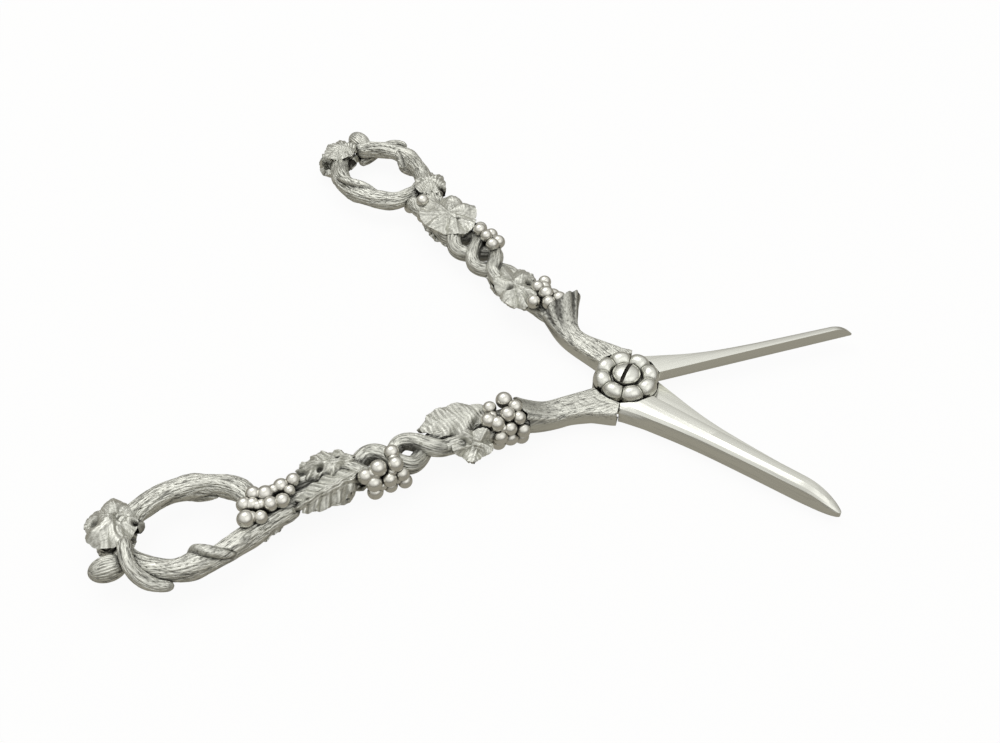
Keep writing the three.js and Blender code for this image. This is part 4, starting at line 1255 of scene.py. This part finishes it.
@dataclass(frozen=True)
class Blade:
    """What the two blades share: the half of the lap joint, and a bar that grows out of it."""

    node: str
    arm: Arm
    angle: float
    edge: BladeEdge
    lap_low: float
    lap_high: float
    stop_slope: float  # of the face at the root that stops the shears
    lap_radius: float = 7.4
    bore: float = 2.3
    start: float = 5.0
    neck_from: float = 5.5
    neck_to: float = 8.7
    softening: float = 0.12  # width of the rounded edges
    steps: int = 90

    def casting(self) -> Casting:
        """Starts the blade's casting in its own frame: along, across and up."""
        return Casting(self.node, self.arm.body, POLISHED, Matrix.Rotation(math.radians(self.angle), 4, "Z"))

    def root(self, across: float) -> float:
        """Gives where the bar starts at a distance across: by the lap's round edge or the stop."""
        return max(lap_edge(across), across / self.stop_slope)

    def lap(self, casting: Casting, low: float, high: float, top: float) -> None:
        """Adds the lap's disc, painted dark with shade above its bottom face, and the neck that joins it to the bar.

        Args:
            casting: The blade's casting.
            low: The place across where the neck starts.
            high: The place across where it ends.
            top: The height of its top.
        """
        inner, outer = self.bore, self.lap_radius
        disc = casting.turned([(inner, self.lap_low), (outer, self.lap_low), (outer, self.lap_high),
                               (inner, self.lap_high), (inner, self.lap_low)], 96)
        # Painted shade: the disc shows only through gaps of the lap joint, so every point above its bottom face is made
        # fully hollow and dark
        for vert in disc:
            vert[casting.hollow] = 1.0 if vert.co.z > self.lap_low + STEP else 0.0
        bottom = self.lap_low + 2 * STEP
        corners = [(low, bottom), (high, bottom), (high, top), (low, top)]
        self.bar(casting, Path.straight(self.neck_from, self.neck_to, 2), lambda along: corners,
                 rooted=False, length=self.neck_to)

    def bar(self, casting: Casting, path: Path, corners: Callable[[float], list[tuple[float, float]]],
            rooted: bool, length: float) -> None:
        """Draws a bar through sections with the same number of corners.

        Args:
            casting: The blade's casting.
            path: Stations along the blade.
            corners: Gives a section's corners, across and up, at a place along the blade.
            rooted: Whether the bar starts on the lap's edge and the stop.
            length: Where the bar ends.
        """
        count = len(corners(path.points[0].x))
        begin = path.points[0].x

        def section(turn: float, share: float, run: float) -> Spot:
            """Gives one corner of a section."""
            place = round((turn - math.pi / 2) / (math.tau / count)) % count
            across, up = corners(begin + run)[place]
            first = self.root(across) if rooted else begin
            return Spot(across, up, first + (length - first) * share - (begin + run))

        casting.sweep(path, section, count)

    def finish(self, casting: Casting) -> None:
        """Rounds the long edges of the blade a little, as polishing does, and dresses it.

        Args:
            casting: The blade's casting.
        """
        sharp = [edge for edge in casting.bm.edges
                 if len(edge.link_faces) == 2 and edge.calc_face_angle(0.0) > 0.3 and edge.calc_length() > 0.05]
        bmesh.ops.bevel(casting.bm, geom=sharp, offset=self.softening, offset_type="OFFSET", segments=3, profile=0.5,
                        affect="EDGES", clamp_overlap=True, material=-1)
        casting.brush(casting.bm.verts, Matrix.Rotation(math.pi / 2, 4, "Y"))
        casting.dress(corner=35.0)

    def stations(self) -> Path:
        """Lays stations from the lap to the tip, closer together on the nose."""
        ends = (self.start, self.edge.length - 0.004)
        return Path([Vector((mix(*ends, math.sin(step / self.steps * math.pi / 2) ** 1.35), 0, 0))
                     for step in range(self.steps + 1)])


@dataclass(frozen=True)
class NarrowBlade(Blade):
    """The upper arm's blade: upright cutting face, flat top and bevelled back."""

    past_pivot: float = 0.75
    bottom: float = 1.5
    bevel: float = 0.9
    tip_fall: float = 2.5  # drop of the top face over the nose

    def corners(self, along: float) -> list[tuple[float, float]]:
        """Gives the section's corners at a place along the blade.

        Args:
            along: The distance from the pivot.

        Returns:
            The corners, across and up.
        """
        width = max(LEAST_WIDTH, self.edge.width(along) * self.edge.nose_share(along))
        back = width - self.past_pivot
        bevel = min(self.bevel, width / 3)
        top = ARM_THICKNESS - self.tip_fall * (1 - self.edge.nose_share(along) ** 2)
        return [(-self.past_pivot, self.bottom), (back, self.bottom), (back, top - bevel),
                (back - bevel, top - 0.1 * bevel), (mix(back, -self.past_pivot, 0.5), top), (-self.past_pivot, top)]

    def cast(self) -> None:
        """Draws and dresses the blade."""
        casting = self.casting()
        self.bar(casting, self.stations(), self.corners, rooted=True, length=self.edge.length)
        self.lap(casting, low=-0.7, high=5.2, top=self.lap_high)
        self.finish(casting)


@dataclass(frozen=True)
class WideBlade(Blade):
    """The lower arm's blade: a bar outside the rebate, and the ledge that the narrow blade shuts down on."""

    wall: float = -1.15
    tip_inset: float = 1.5
    belly: float = 0.35
    ledge_top: float = 1.2
    ledge_root: float = 0.6
    ledge_nose: float = 15.0
    ledge_length: float = 51.8
    ledge_spare: float = 0.4  # how far the ledge reaches past the narrow blade
    ledge_steps: int = 70
    neck_drop: float = 0.06  # from the ledge's top to the neck's
    cover: BladeEdge = BladeEdge(NARROW_KNOTS, 57.2, 5.0)

    def root(self, across: float) -> float:
        """Gives where the bar starts at a distance across: by the lap's round edge or the stop."""
        return max(lap_edge(across), -across * self.stop_slope)

    def corners(self, along: float) -> list[tuple[float, float]]:
        """Gives the bar's corners at a place along the blade.

        Args:
            along: The distance from the pivot.

        Returns:
            The corners, across and up.
        """
        share = self.edge.nose_share(along)
        width = max(LEAST_WIDTH, self.edge.width(along) * share)
        inner = self.wall - self.tip_inset * (1 - share)
        top = mix(self.ledge_top, ARM_THICKNESS, share ** 2)
        crown = 0.1 * share
        roll = min(1.2, 0.35 * width) * share
        return [(inner - width, 0.0), (inner, 0.0), (inner, top), (inner - 0.5 * width, top + crown),
                (inner - 0.8 * width, top - 0.2 * roll), (inner - 0.95 * width, top - 0.65 * roll),
                (inner - width - 0.5 * self.belly * share, top - 1.4 * roll),
                (inner - width - self.belly * share, 0.4 * top)]

    def ledge(self, along: float) -> list[tuple[float, float]]:
        """Gives the ledge's corners at a place along the blade.

        Args:
            along: The distance from the pivot.

        Returns:
            The corners, across and up.
        """
        past = max(0.0, (along - self.ledge_length + self.ledge_nose) / self.ledge_nose)
        reach = (self.cover.width(along) + self.ledge_spare) * nose_left(past)
        far = self.wall + max(0.03, reach)
        return [(self.wall - self.ledge_root, STEP), (far, STEP), (far, self.ledge_top),
                (self.wall - self.ledge_root, self.ledge_top)]

    def cast(self) -> None:
        """Draws and dresses the blade."""
        casting = self.casting()
        self.bar(casting, self.stations(), self.corners, rooted=True, length=self.edge.length)
        self.bar(casting, Path.straight(self.start, self.ledge_length, self.ledge_steps), self.ledge,
                 rooted=True, length=self.ledge_length)
        self.lap(casting, low=-7.0, high=4.6, top=self.ledge_top - self.neck_drop)
        self.finish(casting)


@dataclass(frozen=True)
class Rosette:
    """The flower-shaped washer: eight full lobes round the sunk seat of the screw's head."""

    radius: float = 7.5
    lobes: int = 8
    bottom: float = 3.6
    base: float = 0.9
    height: float = 3.0
    bore: float = 2.3
    seat: float = 3.4
    pinch_out: float = 0.26  # how far the outline draws in between two lobes, to the lobe's length
    pinch_down: float = 0.45  # how far the top falls between two lobes, to its height
    foot_inset: float = 0.7
    steps: int = 28

    def cast(self) -> None:
        """Turns the cushion, pinches it between the lobes and dresses it."""
        casting = Casting("rosette", Arm.LOWER.body, POLISHED, Matrix.Identity(4))
        middle, half = (self.radius + self.seat) / 2, (self.radius - self.seat) / 2
        turns = [math.pi * step / self.steps for step in range(self.steps)]
        rim = self.bottom + self.base / 2
        cushion = [(middle + half * math.cos(turn), rim + (self.height - self.base / 2) * math.sin(turn) ** 0.8)
                   for turn in turns]
        floor = self.bottom + self.base
        casting.turned([(self.bore, self.bottom), (self.radius - self.foot_inset, self.bottom), *cushion,
                        (self.seat, floor), (self.bore, floor), (self.bore, self.bottom)], 32 * self.lobes)
        for vert in casting.bm.verts:
            self.pinch(casting, vert)
        casting.dress(corner=50.0)

    def pinch(self, casting: Casting, vert: bmesh.types.BMVert) -> None:
        """Draws one point in and down by how near it lies to the groove between two lobes.

        Args:
            casting: The rosette's casting.
            vert: The point.
        """
        radius = math.hypot(vert.co.x, vert.co.y)
        if radius < self.seat + 0.02:
            return
        place = self.lobes * math.atan2(vert.co.y, vert.co.x) / math.tau
        aside = 2 * abs(place % 1.0 - 0.5)
        drop = 1 - math.sqrt(1 - 0.96 * aside * aside)
        drawn = mix(self.seat, radius, 1 - self.pinch_out * drop) / radius
        vert.co.x, vert.co.y = vert.co.x * drawn, vert.co.y * drawn
        vert.co.z = mix(self.bottom, vert.co.z, 1 - self.pinch_down * drop)
        vert[casting.hollow] = 0.6 * smooth(drop, 0.5, 0.8)


@dataclass(frozen=True)
class PivotScrew:
    """The screw that both arms turn on: shank flush with the underside, domed head with a slot."""

    radius: float = 2.0
    head_radius: float = 3.15
    head_bottom: float = 4.8
    head_edge: float = 0.9
    dome: float = 1.5
    slot_width: float = 0.9
    slot_depth: float = 1.0
    slot_angle: float = 78.0
    chamfer: float = 0.25
    steps: int = 14

    def cast(self) -> None:
        """Draws and dresses the screw."""
        casting = Casting("pivot_screw", Arm.LOWER.body, POLISHED, Matrix.Identity(4))
        crown = self.head_bottom + self.head_edge
        turns = [math.pi / 2 * step / self.steps for step in range(self.steps + 1)]
        dome = [(self.head_radius * math.cos(turn), crown + self.dome * math.sin(turn)) for turn in turns]
        dome[-1] = (0.0, crown + self.dome)
        casting.turned([(0, 0), (self.radius, 0), (self.radius, self.head_bottom),
                        (self.head_radius - self.chamfer, self.head_bottom),
                        (self.head_radius, self.head_bottom + self.chamfer), *dome], 96)
        self.slot(casting, crown)
        casting.dress(corner=40.0)

    def slot(self, casting: Casting, crown: float) -> None:
        """Cuts the driver's slot across the dome.

        Args:
            casting: The screw's casting.
            crown: The height at which the dome starts.
        """
        turn = math.radians(self.slot_angle)
        across = Vector((-math.sin(turn), math.cos(turn), 0))
        for side in (-1, 1):
            faces = [face for face in casting.bm.faces if face.calc_center_median().z > crown - 0.05]
            edges = list({edge for face in faces for edge in face.edges})
            verts = list({vert for face in faces for vert in face.verts})
            bmesh.ops.bisect_plane(casting.bm, geom=verts + edges + faces, dist=0.0005,
                                   plane_co=across * (side * self.slot_width / 2), plane_no=across)
        strip = [face for face in casting.bm.faces
                 if face.calc_center_median().z > crown + 0.01
                 and abs(face.calc_center_median().dot(across)) < self.slot_width / 2 - 0.01]
        grown = bmesh.ops.extrude_face_region(casting.bm, geom=strip)["geom"]
        for item in grown:
            if isinstance(item, bmesh.types.BMVert):
                item.co.z = min(item.co.z, crown + self.dome - self.slot_depth)
                item[casting.hollow] = 1.0
        bmesh.ops.delete(casting.bm, geom=strip, context="FACES")
        bmesh.ops.remove_doubles(casting.bm, verts=casting.bm.verts, dist=0.0005)


@dataclass(frozen=True)
class Studio:
    """A pale floor, soft light from all round and above, and the camera at the photograph's angle."""

    floor_size: float = 3.0  # metres, as all lengths here
    eye: tuple[float, float, float] = (0.01614, -0.18366, 0.18825)
    target: tuple[float, float, float] = (-0.02853, -0.00278, 0.00225)
    lens: float = 41.4
    sensor: float = 36.0
    nearest: float = 0.005  # metres from the camera from which things show
    floor_gap: float = 0.0001

    def build(self) -> None:
        """Sets up floor, world, lamps, camera and view."""
        bpy.context.scene.view_settings.view_transform = "Standard"
        self.floor()
        self.world()
        self.lamp("key_lamp", (-0.25, 0.2, 0.6), size=0.5, power=0.9)
        self.lamp("fill_lamp", (0.35, -0.25, 0.5), size=0.6, power=0.4)
        self.camera()

    def floor(self) -> None:
        """Lays the floor under the lowest point of the shears."""
        bm = bmesh.new()
        bmesh.ops.create_grid(bm, x_segments=1, y_segments=1, size=self.floor_size / 2,
                              matrix=Matrix.Translation((0, 0, CAD_BOX[0][2] - self.floor_gap)))
        mesh = bpy.data.meshes.new("floor")
        bm.to_mesh(mesh)
        bm.free()
        mesh.materials.append(self.floor_material())
        floor = put("floor", mesh)

    def floor_material(self) -> bpy.types.Material:
        """Builds the floor's matt white card, which stays white to the camera and pale in the silver.

        Returns:
            The material.
        """
        material = bpy.data.materials.new("matt_white_card")
        material.use_nodes = True
        tree = material.node_tree
        tree.nodes.clear()
        path = add_node(tree, "ShaderNodeLightPath", {})
        card = add_node(tree, "ShaderNodeBsdfDiffuse", {"Color": linear("#EDECE8")})
        white = add_node(tree, "ShaderNodeEmission", {"Color": linear("#FFFFFF"), "Strength": 1.0})
        pale = add_node(tree, "ShaderNodeEmission", {"Color": linear("#A09C92"), "Strength": 1.0})
        seen = add_node(tree, "ShaderNodeMath", {0: path.outputs["Is Camera Ray"], 1: 0.93}, operation="MULTIPLY")
        bent = add_node(tree, "ShaderNodeMath", {
            0: path.outputs["Is Glossy Ray"], 1: path.outputs["Is Transmission Ray"]}, operation="MAXIMUM")
        shown = add_node(tree, "ShaderNodeMath", {0: bent.outputs[0], 1: 0.95}, operation="MULTIPLY")
        direct = add_node(tree, "ShaderNodeMixShader", {0: seen.outputs[0], 1: card.outputs[0], 2: white.outputs[0]})
        mirrored = add_node(tree, "ShaderNodeMixShader", {
            0: shown.outputs[0], 1: direct.outputs[0], 2: pale.outputs[0]})
        add_node(tree, "ShaderNodeOutputMaterial", {"Surface": mirrored.outputs[0]})
        return material

    def world(self) -> None:
        """Hangs a tent of light round the shears: white overhead, warm and darker towards the horizon."""
        world = bpy.data.worlds.new("light_tent")
        bpy.context.scene.world = world
        world.use_nodes = True
        tree = world.node_tree
        tree.nodes.clear()
        path = add_node(tree, "ShaderNodeLightPath", {})
        way = add_node(tree, "ShaderNodeTexCoord", {})
        parts = add_node(tree, "ShaderNodeSeparateXYZ", {0: way.outputs["Generated"]})
        high = add_node(tree, "ShaderNodeMapRange", {0: parts.outputs["Z"], 1: 0.05, 2: 0.75, 3: 0.0, 4: 1.0})
        tent = add_node(tree, "ShaderNodeMix", {0: high.outputs[0], 6: linear("#7E7B75"), 7: linear("#F8F8F6")},
                        data_type="RGBA")
        soft = add_node(tree, "ShaderNodeBackground", {"Color": tent.outputs[2], "Strength": 1.0})
        white = add_node(tree, "ShaderNodeBackground", {"Color": linear("#FFFFFF"), "Strength": 1.0})
        both = add_node(tree, "ShaderNodeMixShader", {
            0: path.outputs["Is Camera Ray"], 1: soft.outputs[0], 2: white.outputs[0]})
        add_node(tree, "ShaderNodeOutputWorld", {"Surface": both.outputs[0]})

    def lamp(self, name: str, place: tuple[float, float, float], size: float, power: float) -> None:
        """Hangs one square soft box that faces the pivot.

        Args:
            name: The lamp's name.
            place: Where it hangs, in metres.
            size: Its side in metres.
            power: Its power in watts.
        """
        light = bpy.data.lights.new(name, "AREA")
        light.shape = "SQUARE"
        light.size = size
        light.energy = power
        lamp = put(name, light)
        lamp.location = place
        lamp.rotation_euler = (-Vector(place)).to_track_quat("-Z", "Y").to_euler()

    def camera(self) -> None:
        """Sets the camera at the photograph's angle."""
        lens = bpy.data.cameras.new("photo_camera")
        lens.lens = self.lens
        lens.sensor_width = self.sensor
        lens.sensor_fit = "HORIZONTAL"
        lens.clip_start = self.nearest
        camera = put("photo_camera", lens)
        camera.location = self.eye
        camera.rotation_euler = (Vector(self.target) - Vector(self.eye)).to_track_quat("-Z", "Y").to_euler()
        bpy.context.scene.camera = camera


def main() -> None:
    """Builds the shears piece by piece, then the studio."""
    noise.seed_set(NOISE_SEED)
    logging.basicConfig(level=logging.INFO, format="%(message)s")
    upper_trunk = Trunk(
        shoulder_width=9.8, shoulder_out=4.6, waist_width=6.3, waist_out=2.3, rim_width=8.4, rim_out=1.0,
        rim_height=7.4, rim_rise=1.6, flute_depth=0.25, keel=0.0, rag=0.6, tilt=0.0)
    lower_trunk = Trunk(
        shoulder_width=9.0, shoulder_out=3.6, waist_width=5.2, waist_out=0.7, rim_width=12.0, rim_out=3.7,
        rim_height=8.4, rim_rise=2.7, flute_depth=0.4, keel=0.3, rag=0.0, tilt=0.3)
    Handle(Arm.UPPER, upper_trunk).cast()
    Handle(Arm.LOWER, lower_trunk).cast()
    narrow = BladeEdge(NARROW_KNOTS, length=57.6, nose=5.4)
    wide = BladeEdge(WIDE_KNOTS, length=54.8, nose=10.0)
    NarrowBlade("upper_blade", Arm.UPPER, angle=31.9, edge=narrow, lap_low=1.95, lap_high=3.3, stop_slope=1.5668).cast()
    WideBlade("lower_blade", Arm.LOWER, angle=-24.1, edge=wide, lap_low=0.0, lap_high=1.65, stop_slope=0.461).cast()
    Rosette().cast()
    PivotScrew().cast()
    Studio().build()


if __name__ == "__main__":
    main()
